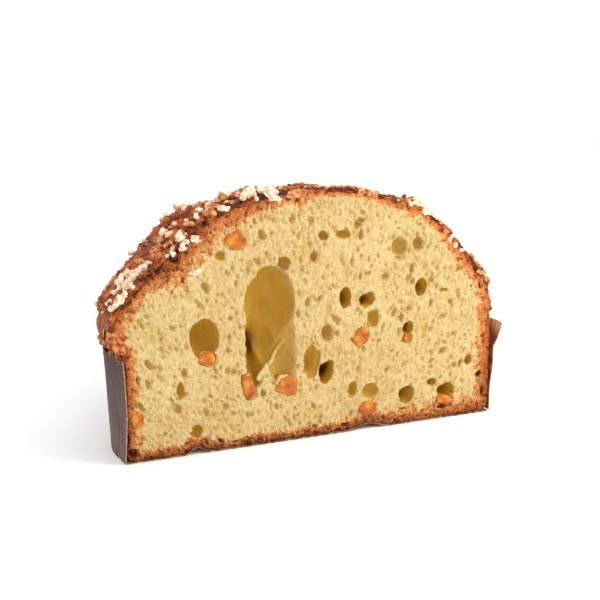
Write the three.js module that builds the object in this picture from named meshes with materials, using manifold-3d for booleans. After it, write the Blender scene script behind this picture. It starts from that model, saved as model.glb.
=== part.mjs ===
// Half of a colomba, the dove-shaped Easter sweet bread, cut straight across its
// wings and standing in its paper baking case. Millimetres, +Z up. The cut face is
// the plane that faces -Y, the wings reach out along X and the tail runs back to +Y.

import * as THREE from 'three';
import { mergeVertices } from 'three/addons/utils/BufferGeometryUtils.js';
import Module from 'manifold-3d';

const wasm = await Module();
wasm.setup();

// ---------------------------------------------------------------- driving sizes

// Clearance between pieces that touch in the real cake.
const GAP = 0.3;

// Plan of the paper case: straight wing ends, round wing backs, a hollow waist and
// a round tail, all joined by tangent arcs.
const HALF_SPAN = 102.5;
const WING_STRAIGHT = 18;
const WING_RADIUS = 45;
const WAIST_RADIUS = 18;
const TAIL_RADIUS = 56;
const TAIL_CENTRE_Y = 95;
const QUARTER_STEPS = 22;

// Paper case.
const PAPER = 0.9;
const CASE_HEIGHT = 52;
const BASE_THICKNESS = 0.8;
const RIM_WAVE = 0.7;
const LEFT_BOW = 1.4;
const FLAP_REACH = 7.3;
const FLAP_DROP = 1.9;
const FLAP_FOOT = 24;
const FLAP_LENGTH = 26;
const WALL_LEVELS = [18, 35, 45, CASE_HEIGHT];
const BOW_START = 4;
const BOW_LENGTH = 46;
const FLAP_CURL = 2.2;

// Cake body: a straight wall in the case, a bulge that hangs over its rim and a dome.
const FOOT_ROUND = 3.6;
const SHOULDER_LIFT = 1.2;
const SHOULDER_PART = 0.35;
const SHOULDER_SPREAD = 0.75;
const BULGE_LEVEL = 63;
const BULGE_MEAN = 1.9;
const BULGE_SKEW = 3.6;
const DOME_RISE = 61.4;
const DOME_FULLNESS = 0.7;
const LEFT_FULLNESS = 0.63;
const DOME_LENGTH = 150;
// The dome's rings turn from ovals into the dove's plan between these shares of the
// way out, and an oval never reaches further than this times its plan ring.
const OVAL_UP_TO = 0.35;
const OVAL_MOST = 1.35;
// The left wing sank a little behind the cut: where its lower fullness sets in.
const LEFT_WING_X = [30, 80];
const LEFT_WING_Y = [2, 22];
// Share of the dome next to the bulge over which swells and crags fade out.
const CALM_EDGE = 0.12;
const DOME_LEVELS = [0.97, 0.92, 0.86, 0.78, 0.68, 0.57, 0.44, 0.3, 0.15];

// Swells and hollows of the baked crust: place in plan, height and reach.
const CRUST_SWELLS = [
  { x: -50, y: 6, height: 3.4, reach: 17 },
  { x: -79, y: 0, height: -5.6, reach: 13 },
  { x: -65, y: 27, height: 8.5, reach: 14 },
  { x: -90, y: 32, height: -2.5, reach: 12 },
  { x: 84, y: 4, height: -2.4, reach: 17 },
  { x: 62, y: 10, height: 3, reach: 14 },
  { x: 60, y: 22, height: 2.4, reach: 16 },
  { x: 30, y: 46, height: -2.2, reach: 18 },
  { x: -16, y: 70, height: 2.6, reach: 20 },
  { x: -30, y: 36, height: -1.8, reach: 14 },
  { x: 8, y: 118, height: 2.8, reach: 20 },
  { x: -36, y: 108, height: -2.4, reach: 16 },
];
const CRAG_HEIGHT = 1.1;
const CRAG_LENGTH = 15;
const FINE_CRAG = { share: 0.5, finer: 2.3 };

// Baked almond glaze with pearl sugar and almond pieces.
const GLAZE_THICKNESS = 2.3;
const GLAZE_EDGE = 0.7;
const GLAZE_UNEVEN = 0.9;
const GLAZE_SWELLS = [7, 19];
const GLAZE_SUNK = 1.2;
const GLAZE_HEM = { middle: 0.5, wander: 0.8, length: 13, least: 0.1, most: 0.9, step: 0.1 };
const SUGAR_SIZE = 2.6;
const SUGAR_COUNT = 40;
const ALMOND_SIZE = 4.2;
const ALMOND_COUNT = 11;
// Where sugar lies thickest: bearing from the middle of the cut in degrees, place
// from the middle (0) to the edge (1), and how far it spreads.
const SUGAR_DRIFTS = [
  { bearing: 176, out: 0.88, spread: 0.08, share: 0.3 },
  { bearing: 172, out: 0.66, spread: 0.07, share: 0.12 },
  { bearing: 168, out: 0.34, spread: 0.09, share: 0.12 },
  { bearing: 12, out: 0.6, spread: 0.1, share: 0.14 },
];

// Air holes that the knife opened: middle on the cut face, half width, half height
// and depth.
const AIR_HOLES = [
  { x: -27.4, z: 69, w: 13.2, h: 20.5, depth: 15 },
  { x: -35.2, z: 46, w: 5.4, h: 15.5, depth: 13 },
  { x: -21.2, z: 42.5, w: 7.6, h: 13.5, depth: 7.5 },
  { x: -61.8, z: 56.5, w: 7.5, h: 9.5, depth: 11 },
  { x: -20.1, z: 89.9, w: 3.2, h: 3.6, depth: 5 },
  { x: -53.4, z: 96.0, w: 2.6, h: 2.1, depth: 3 },
  { x: 0.9, z: 102.4, w: 2.9, h: 2.4, depth: 4 },
  { x: 12, z: 102.5, w: 4.5, h: 2.2, depth: 4 },
  { x: 22, z: 109.0, w: 2.3, h: 1.3, depth: 2.5 },
  { x: 13.4, z: 70.4, w: 3.4, h: 5.6, depth: 8 },
  { x: 26, z: 68.3, w: 4.6, h: 3.2, depth: 7 },
  { x: 57.5, z: 72.6, w: 3.6, h: 4.7, depth: 7 },
  { x: -4, z: 92.3, w: 2.2, h: 3, depth: 3 },
  { x: 55.4, z: 95.2, w: 3.3, h: 3.6, depth: 3.5 },
  { x: 44.2, z: 94.3, w: 4.7, h: 5.1, depth: 4 },
  { x: 50.2, z: 51.4, w: 3.4, h: 3.6, depth: 6 },
  { x: 29.6, z: 58.4, w: 3.5, h: 4.7, depth: 5 },
  { x: -5.7, z: 39.4, w: 4.2, h: 8.7, depth: 6 },
  { x: 2.6, z: 32.9, w: 4.3, h: 5.7, depth: 9 },
  { x: 17.9, z: 22.2, w: 2.3, h: 4.2, depth: 5 },
  { x: 28.4, z: 20.4, w: 4.8, h: 4.2, depth: 5 },
  { x: 50, z: 15.8, w: 4.9, h: 4.7, depth: 7 },
  { x: 74.2, z: 15.0, w: 5.7, h: 4.2, depth: 9 },
  { x: 65.4, z: 20.8, w: 3.1, h: 2.1, depth: 5 },
  { x: 88, z: 30.4, w: 2.4, h: 2.9, depth: 5 },
  { x: -74.3, z: 32.7, w: 2, h: 4.4, depth: 4 },
  { x: -66.2, z: 11.8, w: 2.6, h: 3.1, depth: 5 },
  { x: -31.6, z: 26.0, w: 1.6, h: 1.8, depth: 3 },
  { x: 3.7, z: 52.9, w: 3.4, h: 4.6, depth: 4 },
];

// Pieces of candied orange peel that the knife laid bare: middle on the cut face,
// half sizes and turn in degrees.
const PEEL_PIECES = [
  { x: -18.5, z: 28.4, w: 6.0, h: 5.2, depth: 5.4, turn: 14 },
  { x: -39.2, z: 30.4, w: 3.0, h: 6.4, depth: 4.6, turn: -14 },
  { x: -60.6, z: 46.6, w: 4.0, h: 3.0, depth: 4.6, turn: 18 },
  { x: 22.7, z: 49.0, w: 4.0, h: 5.2, depth: 4.2, turn: -24 },
  { x: 26.9, z: 11.2, w: 5.2, h: 3.1, depth: 4.4, turn: -16 },
  { x: 73.7, z: 9.6, w: 5.0, h: 2.6, depth: 4.6, turn: 12 },
  { x: -95.4, z: 20.6, w: 3.0, h: 3.4, depth: 3.8, turn: 30 },
  { x: -44.4, z: 103.2, w: 6.2, h: 4.6, depth: 5.0, turn: -8 },
  { x: 49.6, z: 46.3, w: 2.4, h: 2.2, depth: 3.0, turn: 20 },
];

// Small arches where the base paper lifts along the cut: place, half width, height.
const PAPER_ARCHES = [
  { x: -66.2, w: 7, height: 2.9 },
  { x: 27, w: 14, height: 2.5 },
];
const ARCH_DEPTH = 12;

// Colours, from the photographed cake.
const CRUMB = { color: 0xe6cf86, roughness: 0.85 };
const GLAZE = { color: 0xa86a3c, roughness: 0.6 };
const PEEL = { color: 0xe8903a, roughness: 0.3 };
const CASE = { color: 0x5d504c, roughness: 0.8 };
const BASE = { color: 0x9a6a44, roughness: 0.85 };

// -------------------------------------------------------------- small arithmetic

const lerp = THREE.MathUtils.lerp;
const smooth = THREE.MathUtils.smoothstep;
const radians = THREE.MathUtils.degToRad;

// A repeatable stream of random numbers between 0 and 1.
function seededRandom(seed) {
  let state = seed;
  return () => {
    state = (state + 0x6d2b79f5) | 0;
    let bits = Math.imul(state ^ (state >>> 15), 1 | state);
    bits = (bits + Math.imul(bits ^ (bits >>> 7), 61 | bits)) ^ bits;
    return ((bits ^ (bits >>> 14)) >>> 0) / 4294967296;
  };
}

// A repeatable value between -1 and 1 for one lattice point.
function latticeValue(i, j, k) {
  const bits = Math.imul(i, 374761393) + Math.imul(j, 668265263) + Math.imul(k, 2147483647);
  const mixed = Math.imul(bits ^ (bits >>> 13), 1274126177);
  return (((mixed ^ (mixed >>> 16)) >>> 0) / 4294967296) * 2 - 1;
}

// Smooth noise between -1 and 1, with features about `size` across.
function noise(point, size) {
  const p = point.clone().divideScalar(size);
  const base = p.clone().floor();
  const f = p.sub(base);
  const wx = smooth(f.x, 0, 1);
  const wy = smooth(f.y, 0, 1);
  const wz = smooth(f.z, 0, 1);
  const at = (a, b, c) => latticeValue(base.x + a, base.y + b, base.z + c);
  const row = (b, c) => lerp(at(0, b, c), at(1, b, c), wx);
  const sheet = (c) => lerp(row(0, c), row(1, c), wy);
  return lerp(sheet(0), sheet(1), wz);
}

// --------------------------------------------------------------- solids and cuts

function solidFrom(geometry) {
  geometry.deleteAttribute('normal');
  geometry.deleteAttribute('uv');
  const merged = mergeVertices(geometry, 1e-4);
  return new wasm.Manifold(new wasm.Mesh({
    numProp: 3,
    vertProperties: new Float32Array(merged.attributes.position.array),
    triVerts: new Uint32Array(merged.index.array),
  }));
}

function geometryFrom(solid) {
  const mesh = solid.getMesh();
  const geometry = new THREE.BufferGeometry();
  geometry.setAttribute('position', new THREE.BufferAttribute(mesh.vertProperties, 3));
  geometry.setIndex(new THREE.BufferAttribute(mesh.triVerts, 1));
  geometry.computeVertexNormals();
  return geometry;
}

// A closed surface from rings of points with the same count, each ring above or
// inside the last, closed by a fan at each end.
function ringSolid(rings, firstPoint, lastPoint) {
  const count = rings[0].length;
  const points = rings.flat().concat([firstPoint, lastPoint]);
  const first = points.length - 2;
  const last = points.length - 1;
  const faces = [];
  for (let i = 0; i < count; i += 1) {
    const j = (i + 1) % count;
    faces.push(first, j, i);
    for (let r = 0; r + 1 < rings.length; r += 1) {
      const a = r * count + i;
      const b = r * count + j;
      faces.push(a, b, b + count, a, b + count, a + count);
    }
    const top = (rings.length - 1) * count;
    faces.push(top + i, top + j, last);
  }
  return solidFrom(indexedGeometry(points, faces));
}

// A closed band from rings that run round its section and meet again.
function bandSolid(rings) {
  const count = rings[0].length;
  const faces = [];
  for (let r = 0; r < rings.length; r += 1) {
    const s = (r + 1) % rings.length;
    for (let i = 0; i < count; i += 1) {
      const j = (i + 1) % count;
      faces.push(r * count + i, r * count + j, s * count + j);
      faces.push(r * count + i, s * count + j, s * count + i);
    }
  }
  return solidFrom(indexedGeometry(rings.flat(), faces));
}

function indexedGeometry(points, faces) {
  const geometry = new THREE.BufferGeometry().setFromPoints(points);
  geometry.setIndex(faces);
  return geometry;
}

// Everything in front of the knife's plane, Y = 0.
function knifeBlock() {
  const reach = 4 * HALF_SPAN;
  const block = new THREE.BoxGeometry(reach, reach, reach);
  block.translate(0, -reach / 2, 0);
  return solidFrom(block);
}

const KNIFE = knifeBlock();

function addPiece(group, name, solid, look) {
  const material = new THREE.MeshStandardMaterial({ ...look, metalness: 0 });
  const mesh = new THREE.Mesh(geometryFrom(solid), material);
  mesh.name = name;
  group.add(mesh);
}

// ------------------------------------------------------------- plan of the dove

// One quarter of the plan, from the cut (Y = 0) round the wing to the tail's end.
function quarterPath() {
  const wing = new THREE.Vector2(HALF_SPAN - WING_RADIUS, WING_STRAIGHT);
  const tail = new THREE.Vector2(0, TAIL_CENTRE_Y);
  const reachWing = WING_RADIUS + WAIST_RADIUS;
  const reachTail = TAIL_RADIUS + WAIST_RADIUS;
  const across = tail.clone().sub(wing);
  const distance = across.length();
  const along = (reachWing ** 2 - reachTail ** 2 + distance ** 2) / (2 * distance);
  const aside = Math.sqrt(reachWing ** 2 - along ** 2);
  const unit = across.divideScalar(distance);
  const outward = new THREE.Vector2(unit.y, -unit.x);
  const waist = wing.clone().addScaledVector(unit, along).addScaledVector(outward, aside);
  const toWaist = waist.clone().sub(wing).angle();
  const fromTail = waist.clone().sub(tail).angle() - 2 * Math.PI;
  const path = new THREE.Path();
  path.moveTo(HALF_SPAN, 0);
  path.lineTo(HALF_SPAN, WING_STRAIGHT);
  path.absarc(wing.x, wing.y, WING_RADIUS, 0, toWaist, false);
  path.absarc(waist.x, waist.y, WAIST_RADIUS, toWaist + Math.PI, fromTail + Math.PI, true);
  path.absarc(tail.x, tail.y, TAIL_RADIUS, fromTail, Math.PI / 2, false);
  return path;
}

// The whole dove's plan as evenly spaced points that run anticlockwise, none of them
// on the knife's plane, each with its outward normal.
function dovePlan() {
  const quarter = quarterPath().getSpacedPoints(2 * QUARTER_STEPS).filter((_, i) => i % 2 === 1);
  const backwards = quarter.slice().reverse();
  const mirrored = (points, sx, sy) => points.map((p) => new THREE.Vector2(p.x * sx, p.y * sy));
  const points = [
    ...quarter,
    ...mirrored(backwards, -1, 1),
    ...mirrored(quarter, -1, -1),
    ...mirrored(backwards, 1, -1),
  ];
  return points.map((point, i) => {
    const before = points[(i + points.length - 1) % points.length];
    const after = points[(i + 1) % points.length];
    const run = after.clone().sub(before).normalize();
    return { point, normal: new THREE.Vector2(run.y, -run.x) };
  });
}

const PLAN = dovePlan();

// A ring at one level, pushed out from the plan by `outset` (a number or a function
// of the plan point and its level).
function planRing(level, outset) {
  return PLAN.map(({ point, normal }) => {
    const push = typeof outset === 'function' ? outset(point, level) : outset;
    const moved = point.clone().addScaledVector(normal, push);
    return new THREE.Vector3(moved.x, moved.y, level);
  });
}

// ------------------------------------------------------------------ paper case

// How far the case's wall leans out of its plan: the left wing's wall bows in, and
// the right wing's rim peels away from the cake at the cut.
function wallLean(point, level) {
  const nearCut = 1 - smooth(Math.abs(point.y), BOW_START, BOW_LENGTH);
  if (point.x < 0) {
    return -LEFT_BOW * Math.sin((Math.PI * level) / CASE_HEIGHT) * nearCut;
  }
  return 0;
}

// How far along the flap a place is: 1 at the cut, 0 where the rim is whole.
function flapShare(point) {
  return point.x < 0 ? 0 : 1 - smooth(Math.abs(point.y), 0, FLAP_LENGTH);
}

function flapLean(point, level) {
  const up = Math.max(level - FLAP_FOOT, 0) / (CASE_HEIGHT - FLAP_FOOT);
  return FLAP_REACH * up ** FLAP_CURL * flapShare(point);
}

// Waves of the rim, from one place round the plan to the next.
function rimWave(point) {
  const turns = Math.atan2(point.y, point.x);
  return RIM_WAVE * (Math.sin(5 * turns + 0.8) + 0.6 * Math.sin(13 * turns)) - 2 * RIM_WAVE;
}

function paperWall() {
  const foot = BASE_THICKNESS + GAP;
  const levels = [foot, ...WALL_LEVELS];
  const face = (inset) => levels.map((level) => planRing(
    level,
    (point, z) => wallLean(point, z) + flapLean(point, z) - inset,
  ));
  const outer = face(0);
  const inner = face(PAPER).reverse();
  for (const ring of [outer[outer.length - 1], inner[0]]) {
    ring.forEach((p, i) => {
      p.z += rimWave(PLAN[i].point) - FLAP_DROP * flapShare(PLAN[i].point);
    });
  }
  return bandSolid([...outer, ...inner]).subtract(KNIFE);
}

// Height of the base paper above the table.
function paperLift(x, y) {
  const depth = Math.min(Math.max(y, 0) / ARCH_DEPTH, 1);
  const fade = Math.cos((depth * Math.PI) / 2) ** 2;
  return PAPER_ARCHES.reduce((sum, arch) => {
    const offset = Math.min(Math.abs(x - arch.x) / arch.w, 1);
    return sum + arch.height * fade * Math.cos((offset * Math.PI) / 2) ** 2;
  }, 0);
}

// A slab that follows the base paper's arches between two heights above it.
function archedSlab(low, high) {
  const margin = 12;
  const steps = 3;
  const edge = HALF_SPAN + margin;
  const xs = [-edge, edge];
  for (const arch of PAPER_ARCHES) {
    for (let i = -steps; i <= steps; i += 1) {
      xs.push(arch.x + (arch.w * i) / steps);
    }
  }
  xs.sort((a, b) => a - b);
  const ys = [-margin, 1, 5, 9, ARCH_DEPTH, TAIL_CENTRE_Y + TAIL_RADIUS + margin];
  const points = [];
  for (const height of [low, high]) {
    for (const y of ys) {
      xs.forEach((x) => points.push(new THREE.Vector3(x, y, paperLift(x, y) + height)));
    }
  }
  const columns = xs.length;
  const layer = columns * ys.length;
  const faces = [];
  for (let r = 0; r + 1 < ys.length; r += 1) {
    for (let c = 0; c + 1 < columns; c += 1) {
      const a = r * columns + c;
      const b = a + 1;
      const d = a + columns;
      const e = d + 1;
      faces.push(a, e, b, a, d, e);
      faces.push(layer + a, layer + b, layer + e, layer + a, layer + e, layer + d);
    }
  }
  const border = [];
  for (let c = 0; c + 1 < columns; c += 1) {
    border.push([c, c + 1]);
    border.push([layer - 1 - c, layer - 2 - c]);
  }
  for (let r = 0; r + 1 < ys.length; r += 1) {
    border.push([r * columns + columns - 1, (r + 1) * columns + columns - 1]);
    border.push([(r + 1) * columns, r * columns]);
  }
  for (const [from, to] of border) {
    faces.push(from, to, layer + to, from, layer + to, layer + from);
  }
  return solidFrom(indexedGeometry(points, faces));
}

function paperBase() {
  const deep = 8;
  const reach = (level) => planRing(level, 0);
  const column = ringSolid(
    [reach(-deep), reach(deep)],
    new THREE.Vector3(0, 0, -deep),
    new THREE.Vector3(0, 0, deep),
  );
  return archedSlab(0, BASE_THICKNESS).intersect(column).subtract(KNIFE);
}

// ------------------------------------------------------------------- cake body

function crustSwell(x, y) {
  return CRUST_SWELLS.reduce((sum, swell) => {
    const distance = Math.hypot(x - swell.x, Math.abs(y) - swell.y) / swell.reach;
    return sum + swell.height * Math.exp(-distance * distance);
  }, 0);
}

function crags(point) {
  const coarse = noise(point, CRAG_LENGTH);
  const fine = noise(point, CRAG_LENGTH / FINE_CRAG.finer);
  return CRAG_HEIGHT * (coarse + FINE_CRAG.share * fine);
}

function bulge(point) {
  return BULGE_MEAN - (BULGE_SKEW * point.x) / HALF_SPAN;
}

// A ring of the dome: `out` runs from 1 at the bulge, which follows the dove's plan,
// to 0 at the middle of the top, round which the rings are plain ovals.
function domeRing(out) {
  const dove = smooth(out, OVAL_UP_TO, 1);
  return planRing(BULGE_LEVEL, bulge).map((p) => {
    const bearing = Math.atan2(p.y, p.x);
    const oval = 1 / Math.hypot(Math.cos(bearing) / HALF_SPAN, Math.sin(bearing) / DOME_LENGTH);
    const stretch = Math.min(oval / Math.hypot(p.x, p.y), OVAL_MOST);
    const reach = out * lerp(stretch, 1, dove);
    const x = p.x * reach;
    const y = p.y * reach;
    const leftWing = smooth(-x, ...LEFT_WING_X) * smooth(Math.abs(y), ...LEFT_WING_Y);
    const rise = DOME_RISE * (1 - out * out) ** lerp(DOME_FULLNESS, LEFT_FULLNESS, leftWing);
    const settled = smooth(1 - out, 0, CALM_EDGE);
    const point = new THREE.Vector3(x, y, BULGE_LEVEL + rise + crustSwell(x, y) * settled);
    point.z += crags(point) * settled;
    return point;
  });
}

const DOME = [domeRing(1), ...DOME_LEVELS.map(domeRing)];
const CROWN = new THREE.Vector3(0, 0, BULGE_LEVEL + DOME_RISE);

// Outward normals of the dome's rings, from their neighbours on all four sides.
function domeNormals() {
  return DOME.map((ring, r) => ring.map((_, i) => {
    const count = ring.length;
    const along = ring[(i + 1) % count].clone().sub(ring[(i + count - 1) % count]);
    const lower = DOME[Math.max(r - 1, 0)][i];
    const upper = r + 1 < DOME.length ? DOME[r + 1][i] : CROWN;
    return along.cross(upper.clone().sub(lower)).normalize();
  }));
}

function cakeForm() {
  const wall = -(PAPER + GAP);
  const floor = BASE_THICKNESS + GAP;
  const inCase = (point, level) => wallLean(point, level) + wall;
  const roundedFoot = [
    planRing(floor, wall - FOOT_ROUND),
    planRing(floor + 0.3 * FOOT_ROUND, wall - 0.3 * FOOT_ROUND),
    planRing(floor + FOOT_ROUND, inCase),
  ];
  const straight = WALL_LEVELS.map((level) => planRing(level, inCase));
  const overRim = CASE_HEIGHT + SHOULDER_LIFT;
  const shoulder = [
    planRing(overRim, wall),
    planRing(
      lerp(overRim, BULGE_LEVEL, SHOULDER_PART),
      (point) => lerp(wall, bulge(point), SHOULDER_SPREAD),
    ),
  ];
  return ringSolid(
    [...roundedFoot, ...straight, ...shoulder, ...DOME],
    new THREE.Vector3(0, 0, floor),
    CROWN,
  );
}

// An egg-shaped hole with a slightly crooked wall.
function airHole({ x, z, w, h, depth }) {
  const detail = Math.max(w, h) > 7 ? 2 : 1;
  const egg = new THREE.IcosahedronGeometry(1, detail);
  const position = egg.attributes.position;
  const point = new THREE.Vector3();
  const centre = new THREE.Vector3(x, 0, z);
  const crooked = 0.12;
  for (let i = 0; i < position.count; i += 1) {
    point.fromBufferAttribute(position, i);
    const wobble = noise(point.clone().multiplyScalar(1.7).add(centre), 1);
    point.multiplyScalar(1 + crooked * wobble);
    point.set(point.x * w, point.y * depth, point.z * h).add(centre);
    position.setXYZ(i, point.x, point.y, point.z);
  }
  return solidFrom(egg);
}

// A cube of peel with soft corners; `grow` makes the pocket that it sits in.
function peelForm(piece, index, grow) {
  const sides = 3;
  const cube = new THREE.BoxGeometry(2, 2, 2, sides, sides, sides);
  const position = cube.attributes.position;
  const softness = 0.45;
  const dent = 0.1;
  const point = new THREE.Vector3();
  const turn = new THREE.Matrix4().makeRotationY(radians(piece.turn));
  const shift = new THREE.Vector3(index * 5, 0, 0);
  for (let i = 0; i < position.count; i += 1) {
    point.fromBufferAttribute(position, i);
    const ball = point.clone().normalize().multiplyScalar(1.25);
    const bump = 1 + dent * noise(point.clone().add(shift), 1.1);
    point.lerp(ball, softness).multiplyScalar(bump);
    point.set(
      point.x * (piece.w + grow),
      point.y * (piece.depth + grow),
      point.z * (piece.h + grow),
    );
    point.applyMatrix4(turn);
    position.setXYZ(i, point.x + piece.x, point.y, point.z + piece.z);
  }
  return solidFrom(cube);
}

function cakeBody() {
  let cake = cakeForm().subtract(archedSlab(-20, BASE_THICKNESS + GAP));
  for (const hole of AIR_HOLES) {
    cake = cake.subtract(airHole(hole));
  }
  PEEL_PIECES.forEach((piece, index) => {
    cake = cake.subtract(peelForm(piece, index, 1.2 * GAP));
  });
  return cake.subtract(KNIFE);
}

// ---------------------------------------------------------- glaze and toppings

const NORMALS = domeNormals();

// A point of the glaze on ring `r` (may lie between two rings) at a height above the
// crust.
function glazePoint(r, i, height) {
  const low = Math.floor(r);
  const high = Math.min(low + 1, DOME.length - 1);
  const point = DOME[low][i].clone().lerp(DOME[high][i], r - low);
  const normal = NORMALS[low][i].clone().lerp(NORMALS[high][i], r - low).normalize();
  return point.addScaledVector(normal, height);
}

// Where the glaze ends, as a ring number between the bulge (0) and the ring above it.
function glazeEdge(i) {
  const { point } = PLAN[i];
  const wander = noise(new THREE.Vector3(point.x, point.y, 0), GLAZE_HEM.length);
  const edge = GLAZE_HEM.middle + GLAZE_HEM.wander * wander;
  return THREE.MathUtils.clamp(edge, GLAZE_HEM.least, GLAZE_HEM.most);
}

function glazeThickness(point) {
  const [small, large] = GLAZE_SWELLS.map((length) => noise(point, length));
  return GLAZE_THICKNESS + GLAZE_UNEVEN * (small + large / 2);
}

// The glaze filled in down to the table, before the crust is cut out of it. Its edge
// is a low step that sinks into the crust.
function glazeForm() {
  const edge = PLAN.map((_, i) => glazePoint(glazeEdge(i), i, GAP + GLAZE_EDGE));
  const sunk = PLAN.map((_, i) => glazePoint(glazeEdge(i) - GLAZE_HEM.step, i, -GLAZE_SUNK));
  const cover = DOME.slice(1).map((ring, r) => ring.map((crust, i) => (
    glazePoint(r + 1, i, GAP + glazeThickness(crust))
  )));
  const floor = sunk.map((p) => new THREE.Vector3(p.x, p.y, 0));
  return ringSolid(
    [floor, sunk, edge, ...cover],
    new THREE.Vector3(0, 0, 0),
    CROWN.clone().setZ(CROWN.z + GAP + GLAZE_THICKNESS),
  );
}

// The crust with the clearance added, filled in down to below the table.
function crustGuard() {
  const grown = DOME.map((ring, r) => ring.map((_, i) => glazePoint(r, i, GAP)));
  const floor = grown[0].map((p) => new THREE.Vector3(p.x, p.y, -1));
  return ringSolid(
    [floor, ...grown],
    new THREE.Vector3(0, 0, -1),
    CROWN.clone().setZ(CROWN.z + GAP),
  );
}

// A broken nugget, `flat` of its width high, lying on the glaze.
function nugget(random, place, normal, size, flat) {
  const lump = new THREE.IcosahedronGeometry(size, 0);
  const merged = mergeVertices(lump.deleteAttribute('normal').deleteAttribute('uv'), 1e-4);
  const position = merged.attributes.position;
  const lie = new THREE.Quaternion().setFromUnitVectors(new THREE.Vector3(0, 0, 1), normal);
  const spin = new THREE.Quaternion().setFromAxisAngle(normal, random() * 2 * Math.PI);
  const point = new THREE.Vector3();
  const long = 1 + 0.5 * random();
  for (let i = 0; i < position.count; i += 1) {
    point.fromBufferAttribute(position, i).multiplyScalar(0.8 + 0.35 * random());
    point.set(point.x * long, point.y, point.z * flat);
    point.applyQuaternion(lie).applyQuaternion(spin).add(place);
    position.setXYZ(i, point.x, point.y, point.z);
  }
  return solidFrom(merged);
}

// Ring and column nearest to a bearing and a distance out from the middle.
function nearestOnDome(bearing, out) {
  let column = 0;
  let best = Infinity;
  PLAN.forEach(({ point }, i) => {
    const off = Math.abs(Math.atan2(point.y, point.x) - bearing);
    if (off < best) {
      best = off;
      column = i;
    }
  });
  const levels = [1, ...DOME_LEVELS];
  let ring = 0;
  while (ring + 2 < levels.length && levels[ring + 1] > out) {
    ring += 1;
  }
  const span = levels[ring] - levels[ring + 1];
  return { column, ring: ring + THREE.MathUtils.clamp((levels[ring] - out) / span, 0, 1) };
}

function toppingPlace(random) {
  let pick = random();
  const drift = SUGAR_DRIFTS.find(({ share }) => {
    pick -= share;
    return pick < 0;
  });
  const wander = () => random() + random() - 1;
  if (drift) {
    const bearing = radians(drift.bearing) + wander() * drift.spread;
    return nearestOnDome(bearing, Math.min(drift.out + wander() * drift.spread, 0.95));
  }
  return nearestOnDome(random() * Math.PI, Math.sqrt(0.02 + 0.8 * random()));
}

function glazeWithToppings() {
  const random = seededRandom(29);
  let glaze = glazeForm();
  const kinds = [
    { count: SUGAR_COUNT, size: SUGAR_SIZE, flat: 0.8, proud: 0.1 },
    { count: ALMOND_COUNT, size: ALMOND_SIZE, flat: 0.4, proud: 0 },
  ];
  for (const kind of kinds) {
    for (let n = 0; n < kind.count; n += 1) {
      const { column, ring } = toppingPlace(random);
      const crust = glazePoint(ring, column, 0);
      const lift = GAP + glazeThickness(crust) + kind.proud * kind.size;
      const place = glazePoint(ring, column, lift);
      const normal = place.clone().sub(crust).normalize();
      const size = kind.size * (0.65 + 0.6 * random());
      glaze = glaze.add(nugget(random, place, normal, size, kind.flat));
    }
  }
  return glaze.subtract(crustGuard()).subtract(KNIFE);
}

// ---------------------------------------------------------------------- assembly

const colomba = new THREE.Group();
addPiece(colomba, 'cake', cakeBody(), CRUMB);
addPiece(colomba, 'glaze', glazeWithToppings(), GLAZE);
addPiece(colomba, 'paper_wall', paperWall(), CASE);
addPiece(colomba, 'paper_base', paperBase(), BASE);
PEEL_PIECES.forEach((piece, index) => {
  addPiece(colomba, `candied_peel_${index + 1}`, peelForm(piece, index, 0).subtract(KNIFE), PEEL);
});

// The origin is the middle of the footprint, on the table.
const box = new THREE.Box3().setFromObject(colomba);
const middle = box.getCenter(new THREE.Vector3());
colomba.position.set(-middle.x, -middle.y, -box.min.z);
colomba.updateMatrixWorld(true);

export default colomba;
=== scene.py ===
# Half of a dove-shaped Easter sweet bread, cut straight across its wings and standing
# in its paper baking case. Metres, +Z up, and the cut face looks along -Y.

import math
import random

import bmesh
import bpy
import numpy as np
from mathutils import Matrix, Vector, noise
from mathutils.bvhtree import BVHTree


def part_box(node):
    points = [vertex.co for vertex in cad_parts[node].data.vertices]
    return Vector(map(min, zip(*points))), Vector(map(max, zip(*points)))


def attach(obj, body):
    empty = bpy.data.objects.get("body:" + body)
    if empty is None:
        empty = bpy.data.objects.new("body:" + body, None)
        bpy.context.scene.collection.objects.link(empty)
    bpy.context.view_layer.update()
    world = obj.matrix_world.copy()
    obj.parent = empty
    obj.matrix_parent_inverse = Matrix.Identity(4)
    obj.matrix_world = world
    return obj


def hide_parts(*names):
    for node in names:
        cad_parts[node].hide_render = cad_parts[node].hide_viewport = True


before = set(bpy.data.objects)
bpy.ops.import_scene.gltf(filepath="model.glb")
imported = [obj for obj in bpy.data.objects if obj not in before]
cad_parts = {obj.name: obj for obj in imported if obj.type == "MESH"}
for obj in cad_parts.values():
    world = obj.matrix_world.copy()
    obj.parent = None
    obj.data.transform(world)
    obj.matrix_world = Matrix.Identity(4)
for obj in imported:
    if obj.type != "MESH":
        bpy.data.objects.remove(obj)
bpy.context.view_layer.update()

# ------------------------------------------------------------------ table and light
# A white studio table under a soft overhead light box, with a small key light near the
# right of the cut and a weak fill from its upper left. The camera looks from the left.

MM = 0.001
WHITE_TABLE, TABLE_SIZE = "fbfbfa", 6
CAMERA_PLACE = (-0.23152, -0.54123, 0.1705)
CAMERA_DOWN, CAMERA_YAW = 10.91, 25.22
CAMERA_LENS, CAMERA_SENSOR = 63.97, 36
LIGHT_AIM = Vector((0, -0.02, 0.05))
# Each light's name, place and size in metres, and its watts.
LIGHTS = [
    ("key_right_near", (0.36, -0.34, 0.42), 0.3, 2.0),
    ("fill_upper_left", (-0.7, -0.9, 1.1), 0.8, 0.6),
    ("overhead_box", (0.1, 0.1, 1.3), 1.4, 3),
]
SKY_STRENGTH = 1.05


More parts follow.
